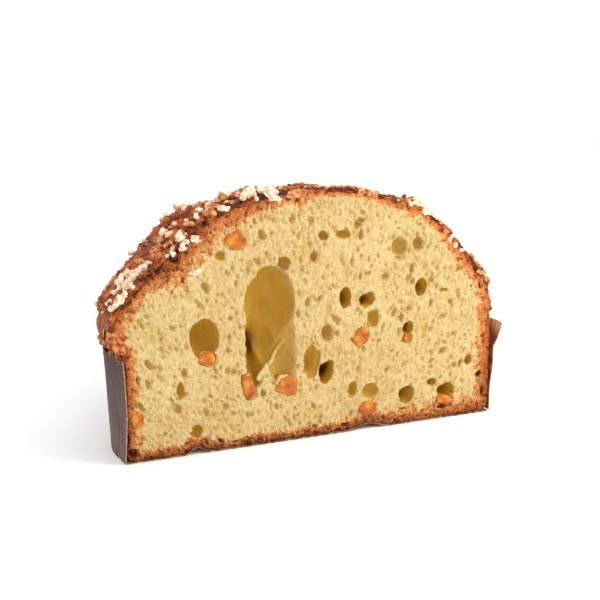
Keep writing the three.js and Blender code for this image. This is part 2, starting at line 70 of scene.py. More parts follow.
def deselect():
    bpy.ops.object.select_all(action="DESELECT")


def select_only(piece):
    deselect()
    piece.select_set(True)
    bpy.context.view_layer.objects.active = piece


def linear(hex_colour):
    """sRGB hex to the linear colour that a shader takes."""
    parts = [int(hex_colour[i:i + 2], 16) / 255 for i in (0, 2, 4)]
    parts = [p / 12.92 if p <= 0.04045 else ((p + 0.055) / 1.055) ** 2.4 for p in parts]
    return (*parts, 1.0)


def plug(tree, node, inputs):
    """Gives a node's inputs their values, or links them to a socket or a node's first output."""
    for name, value in inputs.items():
        if isinstance(value, bpy.types.Node):
            value = next(output for output in value.outputs if output.enabled)
        if isinstance(value, bpy.types.NodeSocket):
            tree.links.new(value, node.inputs[name])
        else:
            node.inputs[name].default_value = value


def add_node(tree, kind, inputs=None, stops=(), **settings):
    """Adds a node with its settings, its inputs and the stops of its colour ramp."""
    made = tree.nodes.new("ShaderNode" + kind)
    for name, value in settings.items():
        setattr(made, name, value)
    plug(tree, made, inputs or {})
    if stops:
        elements = made.color_ramp.elements
        for extra in range(len(stops) - 2):
            elements.new(0.5)
        for element, (position, colour) in zip(elements, stops):
            element.position = position
            element.color = linear(colour)
    return made


def new_material(name):
    """A material, its tree, the place on the object that patterns read, and its shader."""
    material = bpy.data.materials.new(name)
    material.use_nodes = True
    tree = material.node_tree
    where = add_node(tree, "TexCoord").outputs["Object"]
    return material, tree, where, tree.nodes["Principled BSDF"]


deselect()
bpy.ops.mesh.primitive_plane_add(size=TABLE_SIZE, location=(0, 0, 0))
table = bpy.context.object
table.name = "studio_table"
material, tree, where, shader = new_material("white_studio_table")
plug(tree, shader, {"Base Color": linear(WHITE_TABLE), "Roughness": 0.7,
                    "Specular IOR Level": 0.1})
table.data.materials.append(material)

bpy.ops.object.camera_add(
    location=CAMERA_PLACE,
    rotation=(math.radians(90 - CAMERA_DOWN), 0, math.radians(-CAMERA_YAW)))
camera = bpy.context.object
camera.data.lens = CAMERA_LENS
camera.data.sensor_width = CAMERA_SENSOR
camera.data.clip_start = 0.01
bpy.context.scene.camera = camera

for name, place, size, watts in LIGHTS:
    light = bpy.data.lights.new(name, "AREA")
    light.shape = "DISK"
    light.size = size
    light.energy = watts
    lamp = bpy.data.objects.new(name, light)
    lamp.location = place
    lamp.rotation_euler = (LIGHT_AIM - Vector(place)).to_track_quat("-Z", "Y").to_euler()
    bpy.context.scene.collection.objects.link(lamp)

sky = bpy.data.worlds.new("pale_studio")
bpy.context.scene.world = sky
sky.use_nodes = True
plug(sky.node_tree, sky.node_tree.nodes["Background"],
     {"Color": (1.0, 1.0, 1.0, 1.0), "Strength": SKY_STRENGTH})
bpy.context.scene.view_settings.view_transform = "Standard"

# ------------------------------------------------------------------- the cut crumb
# The cut face of the sweet bread: an egg-yellow, open and fibrous crumb, torn by the
# knife, with air holes lined by glossy skins and a baked orange-brown crust round it.
# This slab is the front of the cake, and the body behind it carries on from its back.

CUT_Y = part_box("cake")[0][1]
cut = CUT_Y / MM
FRAME_X = -0.52
node_boxes = np.array([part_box(node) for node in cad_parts])
BOX_LOW, BOX_HIGH = node_boxes[:, 0].min(axis=0), node_boxes[:, 1].max(axis=0)
HAIR = 2e-6
SLAB_DEPTH = 17.5 * MM
CRUMB_VOXEL, HOLE_VOXEL = 0.52 * MM, 0.4 * MM
CRUMB_TRIANGLES = 196000
KEEP_FRONT, KEEP_BACK = 1, -1
rng = random.Random(31)
# Without a seed the offsets of noise_vector follow the clock.
noise.seed_set(31)


def edit(piece, operator, **settings):
    """Runs one edit-mode operator on the whole of a piece."""
    select_only(piece)
    bpy.ops.object.mode_set(mode="EDIT")
    bpy.ops.mesh.select_all(action="SELECT")
    operator(**settings)
    bpy.ops.object.mode_set(mode="OBJECT")


def solid_copy(node, name):
    """A copy of a CAD node with its loose triangles joined into one closed mesh."""
    piece = bpy.data.objects.new(name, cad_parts[node].data.copy())
    bpy.context.scene.collection.objects.link(piece)
    piece.data.materials.clear()
    edit(piece, bpy.ops.mesh.remove_doubles, threshold=1e-6)
    return piece


def apply_modifier(piece, kind, **settings):
    select_only(piece)
    modifier = piece.modifiers.new(kind.lower(), kind)
    for name, value in settings.items():
        setattr(modifier, name, value)
    bpy.ops.object.modifier_apply(modifier=modifier.name)


def keep_side(piece, y, side):
    """Cuts a closed piece at a depth, keeps the side in front or behind, and closes it."""
    edit(piece, bpy.ops.mesh.bisect, plane_co=(0, y, 0), plane_no=(0, side, 0),
         use_fill=True, clear_outer=True)


def vertex_array(piece):
    points = np.empty(len(piece.data.vertices) * 3, np.float32)
    piece.data.vertices.foreach_get("co", points)
    return points.reshape(-1, 3).astype(float)


def normal_array(piece):
    normals = np.empty(len(piece.data.vertices) * 3, np.float32)
    piece.data.vertex_normals.foreach_get("vector", normals)
    return normals.reshape(-1, 3).astype(float)


def move_vertices(piece, points):
    piece.data.vertices.foreach_set("co", points.astype(np.float32).ravel())
    piece.data.update()


def store(piece, name, values):
    attribute = piece.data.attributes.new(name, "FLOAT", "POINT")
    attribute.data.foreach_set("value", np.asarray(values, np.float32))


def triangle_count(piece):
    piece.data.calc_loop_triangles()
    return len(piece.data.loop_triangles)


def close_back(piece, back):
    """Takes the dense flat back of a slab away and closes it by a few large faces."""
    edit(piece, bpy.ops.mesh.select_all, action="DESELECT")
    corners = piece.data.vertices
    for face in piece.data.polygons:
        face.select = all(abs(corners[v].co.y - back) < 0.45 * MM for v in face.vertices)
    bpy.ops.object.mode_set(mode="EDIT")
    bpy.ops.mesh.select_mode(type="FACE")
    bpy.ops.mesh.delete(type="FACE")
    bpy.ops.mesh.select_mode(type="EDGE")
    bpy.ops.mesh.select_non_manifold(extend=False)
    bpy.ops.mesh.fill(use_beauty=False)
    bpy.ops.object.mode_set(mode="OBJECT")


def thin_out(piece, most, unseen=None):
    """Brings a piece down to a number of triangles, taking most from its unseen parts."""
    if triangle_count(piece) > most and unseen is not None:
        group = piece.vertex_groups.new(name="unseen")
        group.add([int(i) for i in np.nonzero(unseen)[0]], 1.0, "REPLACE")
        apply_modifier(piece, "DECIMATE", ratio=0.12, vertex_group="unseen",
                       vertex_group_factor=10)
        piece.vertex_groups.clear()
    now = triangle_count(piece)
    if now > most:
        apply_modifier(piece, "DECIMATE", ratio=most / now)


def crust_shell(solid):
    """The cake's outer skin alone: no cut face and no air holes."""
    shell = bmesh.new()
    shell.from_mesh(solid.data)
    on_cut = [f for f in shell.faces if all(v.co.y < CUT_Y + 0.02 * MM for v in f.verts)]
    bmesh.ops.delete(shell, geom=on_cut, context="FACES")
    unseen = set(shell.faces)
    islands = []
    while unseen:
        front = [unseen.pop()]
        island = []
        while front:
            face = front.pop()
            island.append(face)
            for other in {f for edge in face.edges for f in edge.link_faces} & unseen:
                unseen.remove(other)
                front.append(other)
        islands.append(island)
    islands.sort(key=lambda island: -sum(f.calc_area() for f in island))
    bmesh.ops.delete(shell, geom=[f for island in islands[1:] for f in island],
                     context="FACES")
    tree = BVHTree.FromBMesh(shell)
    shell.free()
    return tree


whole = solid_copy("cake", "cake_copy")
CRUST = crust_shell(whole)
bpy.data.objects.remove(whole)


def crust_depth(points):
    """How deep each point lies under the cake's outer skin, in millimetres."""
    return np.array([CRUST.find_nearest(Vector(p))[3] for p in points]) / MM


# The large holes of the cut: middle across and up from the middle of the cut's foot, half
# width, half height, depth and lean, in millimetres and degrees. The first six are one
# long cavity with a skin of dough across its foot.
LARGE_HOLES = [
    (-28.4, 70.5, 12.9, 17.4, 15, 0), (-31, 58, 9.8, 18, 14.5, 4), (-35.6, 47, 5.4, 14, 13.5, 0),
    (-37.6, 34, 3.7, 9, 9, 4), (-21.2, 52, 6.9, 17, 5.5, 0), (-24.4, 36.5, 3.2, 6.5, 5, -14),
    (-61.8, 56.5, 7.4, 9.6, 11, 0), (-20.1, 89.9, 3.2, 3.8, 5, 8), (-53.4, 96, 2.6, 2.1, 3, 0),
    (0.9, 102.4, 2.8, 2.1, 4, 20), (12, 102.5, 4.4, 2.0, 4, 14), (22, 109, 2.2, 1.2, 2.5, 0),
    (13.4, 70.4, 3.3, 5.5, 7, 0), (26, 68.3, 2.8, 4.9, 7, 42), (57.5, 72.6, 3.1, 4.8, 7, 22),
    (50.2, 51.4, 3.0, 3.8, 7, 20), (29.6, 58.4, 2.9, 4.7, 4.0, 30),
    (-4.5, 38.5, 3.4, 8.4, 4, 14), (3.0, 33.2, 3.5, 5.8, 12, 20), (17.9, 22.2, 2.2, 4.2, 4, 18),
    (28.4, 20.4, 4.4, 4.0, 3.5, 0), (50, 15.8, 4.4, 5.0, 9, 32), (74.2, 15, 5.6, 4.3, 9, -24),
    (65.4, 20.8, 2.8, 1.9, 5, 0), (88, 30.4, 2.1, 3.2, 4, 28), (-74.1, 31.9, 1.8, 3.9, 3, 0),
    (-66.2, 10.6, 2.4, 2.4, 4, 0), (-31.6, 26, 1.6, 1.8, 3, 0), (-11.3, 86.6, 1.5, 2.2, 2, 10),
    (71.3, 70, 3.0, 1.0, 2.4, 0), (-78.2, 25.6, 1.5, 1.5, 2, 0), (22.5, 9.2, 2.4, 0.9, 3, 8),
    (72, 6.2, 3.0, 1.1, 4, 8), (47.6, 8.2, 2.2, 0.8, 3, 0), (13.6, 104.6, 1.6, 1.2, 2, 0),
    (43, 88.5, 2.0, 1.6, 2, 0),
]
CAVITY_PARTS = 6
# Cells cut near their edge show as soft hollows: the same measures.
SOFT_HOLLOWS = [
    (-3.7, 91.8, 2.7, 3.9, 1.8, 0), (55.4, 95.2, 3.6, 4.6, 1.9, 0), (44.2, 94.3, 5.6, 5.9, 1.7, 0),
    (2.8, 53, 4.0, 5.4, 2.2, 14), (-57.4, 18.5, 2.9, 2.2, 1.8, 12), (59.9, 49.9, 3.2, 3.2, 1.7, 20),
    (3.3, 64.6, 1.9, 6.0, 1.6, 14), (9.7, 44.3, 2.7, 2.9, 1.4, 0), (32.9, 37.9, 3.4, 5.6, 1.5, 30),
    (42.5, 28.8, 4.2, 2.2, 1.3, 0), (13.5, 84, 3.4, 4.8, 1.3, 8), (-10, 96.5, 3.0, 2.6, 1.2, 0),
    (-70, 78, 2.6, 4.2, 1.3, -18), (-88, 60, 2.2, 4.2, 1.2, -10), (66, 84, 3.2, 4.2, 1.2, 24),
    (20.5, 69, 3.2, 5.6, 1.5, 8), (35, 80, 3.2, 4.4, 1.2, 16), (76, 54, 2.8, 3.6, 1.1, 20),
    (-52, 30, 3.4, 3.0, 1.2, 0), (-14, 22, 4.2, 3.0, 1.2, 0), (58, 27, 3.4, 3.2, 1.2, 10),
]
# Crevices where the crust has come away from the paper or broken: the same measures.
CREVICES = [
    (-98.4, 5.0, 3.2, 2.4, 5, 0), (-100.4, 11.5, 1.0, 3.4, 4, 6), (-100.8, 22, 0.8, 3.6, 3, 0),
    (-100.9, 33, 0.8, 4.2, 3, 4), (-101, 44, 0.8, 3.0, 3, 0), (95.1, 21.9, 1.5, 2.2, 4, 20),
    (97.6, 12, 1.0, 3.2, 4, 10), (97.5, 40, 0.7, 4.4, 3, -4), (-75.4, 95.5, 2.0, 1.1, 4, -40),
    (-94.5, 82.0, 0.7, 3.4, 3, 42), (-98.6, 76.6, 0.8, 2.8, 3, 44), (-89.5, 86.6, 0.7, 3.0, 3, 46),
    (-54.0, 5.0, 2.6, 1.0, 4, 20), (-47, 3.6, 2.2, 0.7, 3, 0), (14, 4.4, 3.0, 0.8, 3, 10),
    (94, 70.5, 0.7, 3.0, 3, -18), (90.6, 79, 0.8, 2.4, 3, -26),
]
# A dark recess behind the long cavity's left lip: middle across, behind the cut and up,
# and half sizes.
RECESS, RECESS_HALF = (-39.5, 10.5, 51), (6.5, 5.5, 9)
# The skin of dough that crosses the long cavity's foot, thin and pale along its edge:
# across, up and behind the cut.
SKIN_EDGE = [
    (-34.6, 34.5, 0.5), (-32.6, 37.6, 0.8), (-29.6, 40.6, 1.2), (-27.0, 42.4, 2.0),
    (-25.4, 45.4, 2.9), (-22.8, 48.4, 3.8), (-19.8, 51.2, 4.5), (-17.4, 55.0, 5.0),
]
# The torn pores between them: mean radius and how many are tried.
PORE_SIZES = [(2.0, 150), (1.4, 700), (1.0, 1600)]
FACE_HALF, FACE_TOP = 100, 124
WIDE_HOLE = 5
SMOOTH_WALL, RAGGED_WALL = 0.07, 0.3
# How far a peel's bed stands out round it and ends behind the cut, in a hole or in crumb.
BED_IN_HOLE, BED_IN_CRUMB = (0.1, 1.6), (0.35, 0.5)
# Where the dough rose from, below the cut: its cells point away from here.
RISE_X, RISE_Z = -12, -70
# How wide and how dark the baked edge of the cut is, by the angle seen from its middle.
CUT_MIDDLE = 45
EDGE_ANGLES = [-180, -158, -146, -90, -26, 0, 25, 45, 90, 125, 150, 170, 180]
EDGE_WIDTHS = [3.8, 4.8, 4.6, 4.4, 7.6, 7.4, 5.4, 3.4, 3.8, 8.0, 9.6, 6.2, 3.8]
EDGE_BAKES = [0.45, 0.9, 1.0, 1.0, 0.75, 0.3, 0.25, 0.1, 0.25, 0.5, 0.65, 0.55, 0.45]
# A hole narrower than this gets more painted shade inside, a soft hollow counts as a wide one.
HOLE_REACH, SHALLOW = 7, 18.0


def unit_ball(detail):
    """Points and faces of a ball of radius 1."""
    deselect()
    bpy.ops.mesh.primitive_ico_sphere_add(subdivisions=detail, radius=1)
    ball = bpy.context.object
    corners = [v.co.copy() for v in ball.data.vertices]
    faces = [tuple(face.vertices) for face in ball.data.polygons]
    bpy.data.objects.remove(ball)
    return corners, faces


BALLS = {detail: unit_ball(detail) for detail in (1, 2, 3, 4)}


def any_offset():
    return Vector((rng.uniform(-9, 9), rng.uniform(-9, 9), rng.uniform(-9, 9)))


def add_ball(mesh, detail, place):
    """Adds a ball, its corners put where a function says, to a list of points and faces."""
    corners, faces = BALLS[detail]
    first = len(mesh[0])
    mesh[0].extend(place(corner) for corner in corners)
    mesh[1].extend(tuple(first + i for i in face) for face in faces)


def add_blob(mesh, middle, half, lean, detail, ragged):
    """Adds a closed uneven ball to a list of points and faces. Sizes in millimetres."""
    turn = Matrix.Rotation(math.radians(lean), 3, "Y")
    offset = any_offset()

    def place(corner):
        rough = noise.noise(corner * 1.6 + offset) + 0.5 * noise.noise(corner * 4.3 + offset)
        local = Vector(c * h for c, h in zip(corner, half)) * (1 + ragged * rough)
        return (turn @ local + Vector(middle)) * MM

    add_ball(mesh, detail, place)


def as_object(parts, name):
    mesh = bpy.data.meshes.new(name)
    mesh.from_pydata(parts[0], [], parts[1])
    made = bpy.data.objects.new(name, mesh)
    bpy.context.scene.collection.objects.link(made)
    return made


def noise_at(points, scale):
    """Smooth noise, about -1 to 1, at points in metres."""
    return np.array([noise.noise(Vector(p) * scale) for p in points])


def finish_piece(piece, materials, slot, *nodes):
    """Keeps a piece inside the cake's measured box, gives it its materials and hides the nodes it
    replaces.
    """
    move_vertices(piece, np.clip(vertex_array(piece), BOX_LOW + HAIR, BOX_HIGH - HAIR))
    chosen = [face.material_index for face in piece.data.polygons]
    piece.data.materials.clear()
    for material in materials:
        piece.data.materials.append(material)
    piece.data.polygons.foreach_set("material_index", chosen)
    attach(piece, "root")
    if nodes:
        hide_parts(*nodes)


holes = ([], [])
for x, z, w, h, depth, lean in LARGE_HOLES + CREVICES:
    add_blob(holes, (x + FRAME_X, cut, z), (w, depth, h), lean, 4,
             SMOOTH_WALL if w > WIDE_HOLE else RAGGED_WALL)
add_blob(holes, (RECESS[0] + FRAME_X, cut + RECESS[1], RECESS[2]), RECESS_HALF, 0, 4, 0.1)
hole_tool = as_object(holes, "hole_tool")
apply_modifier(hole_tool, "REMESH", mode="VOXEL", voxel_size=HOLE_VOXEL)
crumb = solid_copy("cake", "crumb_cut_face")
keep_side(crumb, CUT_Y + SLAB_DEPTH, KEEP_FRONT)
apply_modifier(crumb, "BOOLEAN", operation="DIFFERENCE", solver="MANIFOLD", object=hole_tool)
bpy.data.objects.remove(hole_tool)

strand = ([], [])
for (xa, za, ya), (xb, zb, yb) in zip(SKIN_EDGE, SKIN_EDGE[1:]):
    for step in range(8):
        t = step / 8
        x, y, z = xa + (xb - xa) * t + FRAME_X, cut + ya + (yb - ya) * t, za + (zb - za) * t
        add_blob(strand, (x, y, z), (0.6, 1.2, 0.6), 0, 2, 0.1)
        add_blob(strand, (x + 0.6, y + 1.7, z - 1.0), (1.1, 2.2, 1.1), 0, 2, 0.1)
strand_mesh = as_object(strand, "strand")
PEEL_NODES = sorted(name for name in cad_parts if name.startswith("candied_peel"))
beds = [solid_copy(node, "peel_bed") for node in PEEL_NODES]
for bed in beds:
    spots = vertex_array(bed)
    middle = (spots.max(axis=0) + spots.min(axis=0)) / (2 * MM)
    in_hole = any(math.hypot(middle[0] - x - FRAME_X, middle[2] - z) < max(w, h) + 2.5
                  for x, z, w, h, _, _ in LARGE_HOLES)
    proud, behind = BED_IN_HOLE if in_hole else BED_IN_CRUMB
    spots += normal_array(bed) * proud * MM
    spots[:, 1] = np.maximum(spots[:, 1], CUT_Y + behind * MM)
    move_vertices(bed, spots)
select_only(crumb)
for extra in [strand_mesh] + beds:
    extra.select_set(True)
bpy.ops.object.join()
apply_modifier(crumb, "REMESH", mode="VOXEL", voxel_size=CRUMB_VOXEL)

points = vertex_array(crumb)
skin = crust_depth(points)
across, up = points[:, 0] / MM, points[:, 2] / MM
depth_behind = points[:, 1] / MM - cut
angle = np.degrees(np.arctan2(up - CUT_MIDDLE, across))
edge_width = np.interp(angle, EDGE_ANGLES, EDGE_WIDTHS)
bake = np.interp(angle, EDGE_ANGLES, EDGE_BAKES)
skin_share = skin / edge_width * (1 + 0.4 * noise_at(points, 130) + 0.3 * noise_at(points, 330))
soft_zone = np.zeros(len(points), bool)
for x, z, w, h, _, _ in SOFT_HOLLOWS:
    soft_zone |= (abs(across - x - FRAME_X) < w + 0.4) & (abs(up - z) < h + 0.4)
on_cut = (depth_behind < 0.45) | (soft_zone & (depth_behind < 6))
cut_index = np.nonzero(on_cut)[0]
ragged = noise_at(points, 900) + 0.6 * noise_at(points, 2100)

# The foam of cells, stretched the way the dough rose: walls stand, cells are sunk.
WIDE_CELL, SMALL_CELL = 2.9, 1.55
foam = np.zeros(len(points))
fibre = np.zeros(len(points))
openness = np.clip(0.5 + 1.3 * noise_at(points[cut_index], 38), 0, 1)
for share, index in zip(openness, cut_index):
    dx, dz = across[index] - RISE_X, up[index] - RISE_Z
    away, turn = math.hypot(dx, dz), math.atan2(dx, dz) * 150
    spot = Vector((turn, away * 0.6, 0.0))
    drift = noise.noise_vector(spot * 0.45) * 1.1 + noise.noise_vector(spot * 1.2) * 0.4
    wide, _ = noise.voronoi((spot + drift) / WIDE_CELL)
    small, _ = noise.voronoi((spot + drift * 0.6) / SMALL_CELL)
    foam[index] = (0.95 * share * min((wide[1] - wide[0]) * 1.5, 1)
                   + 0.45 * min((small[1] - small[0]) * 1.6, 1))
    fibre[index] = 1 - abs(noise.noise(Vector((turn / 0.8, away / 5.5, 3.0))) * 2)
pit = foam.copy()
BIN = 4
bins = {}
for index in cut_index:
    bins.setdefault((int(across[index] // BIN), int(up[index] // BIN)), []).append(index)
bins = {key: np.array(found) for key, found in bins.items()}


def sink(x, z, half_width, half_height, lean, deep, margin, soft):
    """Sinks a hollow with a ragged edge into the cut face, a margin away from its edge."""
    reach = int(max(half_width, half_height) // BIN) + 1
    span = range(-reach, reach + 1)
    keys = [(int(x // BIN) + i, int(z // BIN) + j) for i in span for j in span]
    near = [bins[key] for key in keys if key in bins]
    if not near:
        return
    near = np.concatenate(near)
    dx, dz = across[near] - x, up[near] - z
    u = (dx * math.cos(lean) - dz * math.sin(lean)) / half_width
    v = (dx * math.sin(lean) + dz * math.cos(lean)) / half_height
    q = (u * u + v * v) * (1 + 0.6 * ragged[near])
    inside = q < 1
    if not inside.any() or skin[near[inside]].min() < margin:
        return
    found = near[inside]
    bowl = deep * (1 - np.clip(q[inside], 0, 1)) ** soft
    pit[found] = np.maximum(pit[found], 0.3 * pit[found] + bowl)


for size, wanted in PORE_SIZES:
    for attempt in range(wanted):
        x, z = rng.uniform(-FACE_HALF, FACE_HALF), rng.uniform(3, FACE_TOP)
        r = size * rng.uniform(0.6, 1.25)
        stretch = math.sqrt(rng.uniform(1.0, 2.4))
        risen = math.degrees(math.atan2(x - RISE_X, z - RISE_Z))
        lean = math.radians(risen + rng.gauss(0, 18))
        sink(x, z, r / stretch, r * stretch, lean, r * rng.uniform(0.4, 1.2), 1.5 + size,
             rng.uniform(0.5, 1.1))
for x, z, w, h, depth, lean in SOFT_HOLLOWS:
    sink(x + FRAME_X, z, w, h, math.radians(lean), depth * 0.7, 2, 0.6)

# The cut face moves back by its pits and by the knife's tearing, most of all in the crust.
BACK_MARGIN = SLAB_DEPTH / MM - 1
crumbly = noise_at(points, 1250)
torn = np.clip(0.25 + 0.22 * crumbly + 0.1 * ragged - 0.16 * fibre, 0, 1)
crag = np.clip(0.5 + 1.1 * noise_at(points, 380) + 0.9 * ragged, 0, 2.2)
torn = torn + np.clip(1.3 - skin_share, 0, 1) * (0.3 + bake) * crag
pit *= np.clip(skin_share * 0.8, 0.25, 1)
points[:, 1] += np.where(on_cut, pit + torn, 0) * MM
# The holes' walls are finely rough, and their lips torn.
walls = (~on_cut) & (depth_behind < BACK_MARGIN) & (skin > 1.2)
lip = np.clip(1.6 - depth_behind / 2, 0.35, 1.2)
tears = np.where(depth_behind < 3.5, 0.45 * noise_at(points, 430), 0)
rough = (0.14 * crumbly + 0.1 * ragged + tears - 0.05) * lip * walls
points += normal_array(crumb) * (rough * MM)[:, None]
# The crust above the paper is as knobbly as the body's behind it.
side = (~on_cut) & (skin < 0.7) & (up > 54) & (depth_behind < BACK_MARGIN)
side_index = np.nonzero(side)[0]


def crust_knobs(points):
    """Height of the crust's knobs at points, in millimetres."""
    return np.array([noise.fractal(Vector(p) * 180, 0.6, 2.1, 4) * 0.6 for p in points])


knobbly = np.zeros(len(points))
knobbly[side_index] = crust_knobs(points[side_index])
points += normal_array(crumb) * ((knobbly - 0.1 * side) * MM)[:, None]
# Painted shade: the low places between the knobs get a darker crust colour.
crag = np.where(side, np.clip(0.7 - knobbly, 0, 2), crag)
move_vertices(crumb, points)

# How deep and hemmed in each place of a hole is, which sets its painted shade: darker the
# deeper and narrower the hole, darkest in the recess behind the long cavity's left lip.
# Pits and soft hollows on the cut face get painted shade by their depth.
narrow = np.full(len(points), 9.0)
nearest = np.full(len(points), 1e9)
for x, z, w, h, depth, lean in LARGE_HOLES[CAVITY_PARTS:] + SOFT_HOLLOWS:
    away = np.hypot(across - x - FRAME_X, up - z) - max(w, h)
    narrow = np.where(away < nearest, min(w, h) if depth > 2.3 else SHALLOW, narrow)
    nearest = np.minimum(nearest, away)
long_cavity = (across > -43) & (across < -12) & (up > 24) & (up < 90)
# Painted shade in the recess behind the long cavity's left lip.
recess = np.exp(-(((across + 35.5) / 4.5) ** 2 + ((up - 49) / 9) ** 2))
hemmed_in = np.where(long_cavity, 0.58 + 0.75 * recess, np.clip(HOLE_REACH / narrow, 0.4, 2.3))
pit_seen = np.where(on_cut, pit + 0.35 * depth_behind * soft_zone,
                    np.clip(depth_behind * hemmed_in, 0, 20))
# Painted shade in the crust's holes, darker by their depth.
shaded = np.clip(depth_behind - 0.5, 0, 3) * 0.5 * (skin > 1.2)
store(crumb, "skin_share", skin_share)
store(crumb, "bake", bake)
store(crumb, "crag", crag + shaded)
store(crumb, "pit_mm", pit_seen)
close_back(crumb, CUT_Y + SLAB_DEPTH)
thin_out(crumb, CRUMB_TRIANGLES)
crumb.data.shade_smooth()

# Baked egg dough, torn by the knife: matt and grainy where it is torn, with a soft shine on
# the stretched skins that line the holes, and painted shade that makes holes and pits darker
# yellow the deeper they go. Its crust turns from yellow through orange to brown. Pores of
# 0.3 mm are drawn as cells of 0.8 and 1.6 mm, with painted light on their walls and painted
# shade in their hollows.
MIX_SHARE, MIX_FROM, MIX_TO = 0, 6, 7
crumb_material, tree, where, shader = new_material("egg_dough_crumb")
skin_at, bake_at, crag_at, pit_at = (
    add_node(tree, "Attribute", attribute_name=name).outputs["Fac"]
    for name in ("skin_share", "bake", "crag", "pit_mm"))
warp = add_node(tree, "TexNoise", {"Vector": where, "Scale": 500.0, "Detail": 2.0})
bend = add_node(tree, "VectorMath", {0: warp.outputs["Color"], 1: (0.0016, 0.0016, 0.0016),
                                     2: where}, operation="MULTIPLY_ADD")
upright = add_node(tree, "Mapping", {"Vector": bend, "Scale": (1.0, 1.0, 0.6)})
cells = add_node(tree, "TexVoronoi", {"Vector": upright, "Scale": 620.0}, feature="SMOOTH_F1")
small = add_node(tree, "TexVoronoi", {"Vector": upright, "Scale": 1300.0}, feature="SMOOTH_F1")
patch = add_node(tree, "TexNoise", {"Vector": where, "Scale": 60.0, "Detail": 4.0})
fine = add_node(tree, "TexNoise", {"Vector": upright, "Scale": 1500.0, "Detail": 4.0})
cell_sum = add_node(tree, "Math", {0: small, 1: 0.8, 2: cells}, operation="MULTIPLY_ADD")
texture = add_node(tree, "Math", {0: fine, 1: -1.2, 2: cell_sum}, operation="MULTIPLY_ADD")
mottled = add_node(tree, "Math", {0: patch, 1: -0.5, 2: texture}, operation="MULTIPLY_ADD")
shifted = add_node(tree, "MapRange", {"Value": mottled, "From Min": -0.6, "From Max": 0.6})
# Painted light and shade on the fine cells: pale on their walls, darker in their hollows.
grain_light_and_shade = add_node(tree, "ValToRGB", {"Fac": shifted},
                      stops=[(0.0, "ffffff"), (0.3, "f3e9d2"), (0.75, "d9bd86")])
# Painted shade: the crumb turns darker and deeper yellow the deeper and more hemmed in it lies.
pit_share = add_node(tree, "MapRange", {"Value": pit_at, "From Min": 0.0, "From Max": 16.0})
pit_shade_tone = add_node(tree, "ValToRGB", {"Fac": pit_share}, stops=[
    (0.0, "dac795"), (0.05, "d2b87f"), (0.11, "c4a054"), (0.3, "bd932f"), (0.5, "c0932e"),
    (0.72, "b37f0c"), (1.0, "653a09")])
grainy = add_node(tree, "MapRange", {"Value": pit_at, "From Min": 1.5, "From Max": 5.0,
                                     "To Min": 0.65, "To Max": 0.15})
tone = add_node(tree, "Mix", {MIX_SHARE: grainy, MIX_FROM: pit_shade_tone, MIX_TO: grain_light_and_shade},
                data_type="RGBA", blend_type="MULTIPLY")
wander = add_node(tree, "Math", {0: patch, 1: 1.2, 2: -0.6}, operation="MULTIPLY_ADD")
grain = add_node(tree, "Math", {0: texture, 1: 0.8, 2: wander}, operation="MULTIPLY_ADD")
band = add_node(tree, "Math", {0: skin_at, 1: grain}, operation="SUBTRACT")
band_share = add_node(tree, "MapRange", {"Value": band, "From Min": -0.4, "From Max": 1.1})
pale_crust = add_node(tree, "ValToRGB", {"Fac": band_share}, stops=[
    (0.0, "a64e16"), (0.3, "cc7030"), (0.6, "d78642"), (0.85, "dc9d52"), (1.0, "dfb26c")])
dark_crust = add_node(tree, "ValToRGB", {"Fac": band_share}, stops=[
    (0.0, "431908"), (0.25, "773612"), (0.5, "a05b29"), (0.75, "c27c42"), (1.0, "d69c5a")])
crust_tone = add_node(tree, "Mix", {MIX_SHARE: bake_at, MIX_FROM: pale_crust,
                                    MIX_TO: dark_crust}, data_type="RGBA")
# Dark crevices of the crust, and painted shade in its holes and between its knobs.
crevice_and_shade = add_node(tree, "MapRange", {"Value": crag_at, "From Min": 0.55, "From Max": 1.35,
                                      "To Max": 0.85})
crevice_and_shade_tone = add_node(tree, "Mix", {MIX_SHARE: crevice_and_shade, MIX_FROM: crust_tone,
                                  MIX_TO: linear("571f0b")}, data_type="RGBA")
in_crust = add_node(tree, "MapRange", {"Value": band, "From Min": 0.75, "From Max": 1.15})
colour = add_node(tree, "Mix", {MIX_SHARE: in_crust, MIX_FROM: crevice_and_shade_tone, MIX_TO: tone},
                  data_type="RGBA")
sunk = add_node(tree, "Math", {0: texture, 1: -1.0}, operation="MULTIPLY")
bump = add_node(tree, "Bump", {"Height": sunk, "Strength": grainy, "Distance": 0.0004})
glossy = add_node(tree, "MapRange", {"Value": pit_at, "From Min": 1.5, "From Max": 5.0,
                                     "To Min": 0.65, "To Max": 0.36})
plug(tree, shader, {
    "Base Color": colour, "Roughness": glossy, "Specular IOR Level": 0.22,
    "Subsurface Weight": 0.25, "Subsurface Radius": (1.0, 0.55, 0.25),
    "Subsurface Scale": 0.001, "Normal": bump})
finish_piece(crumb, [crumb_material], "crumb", "cake")

# ------------------------------------------------------------- body behind the cut
# The rest of the sweet bread behind the cut slab: one loaf with a baked crust, browned
# most where it rose over the paper's rim.

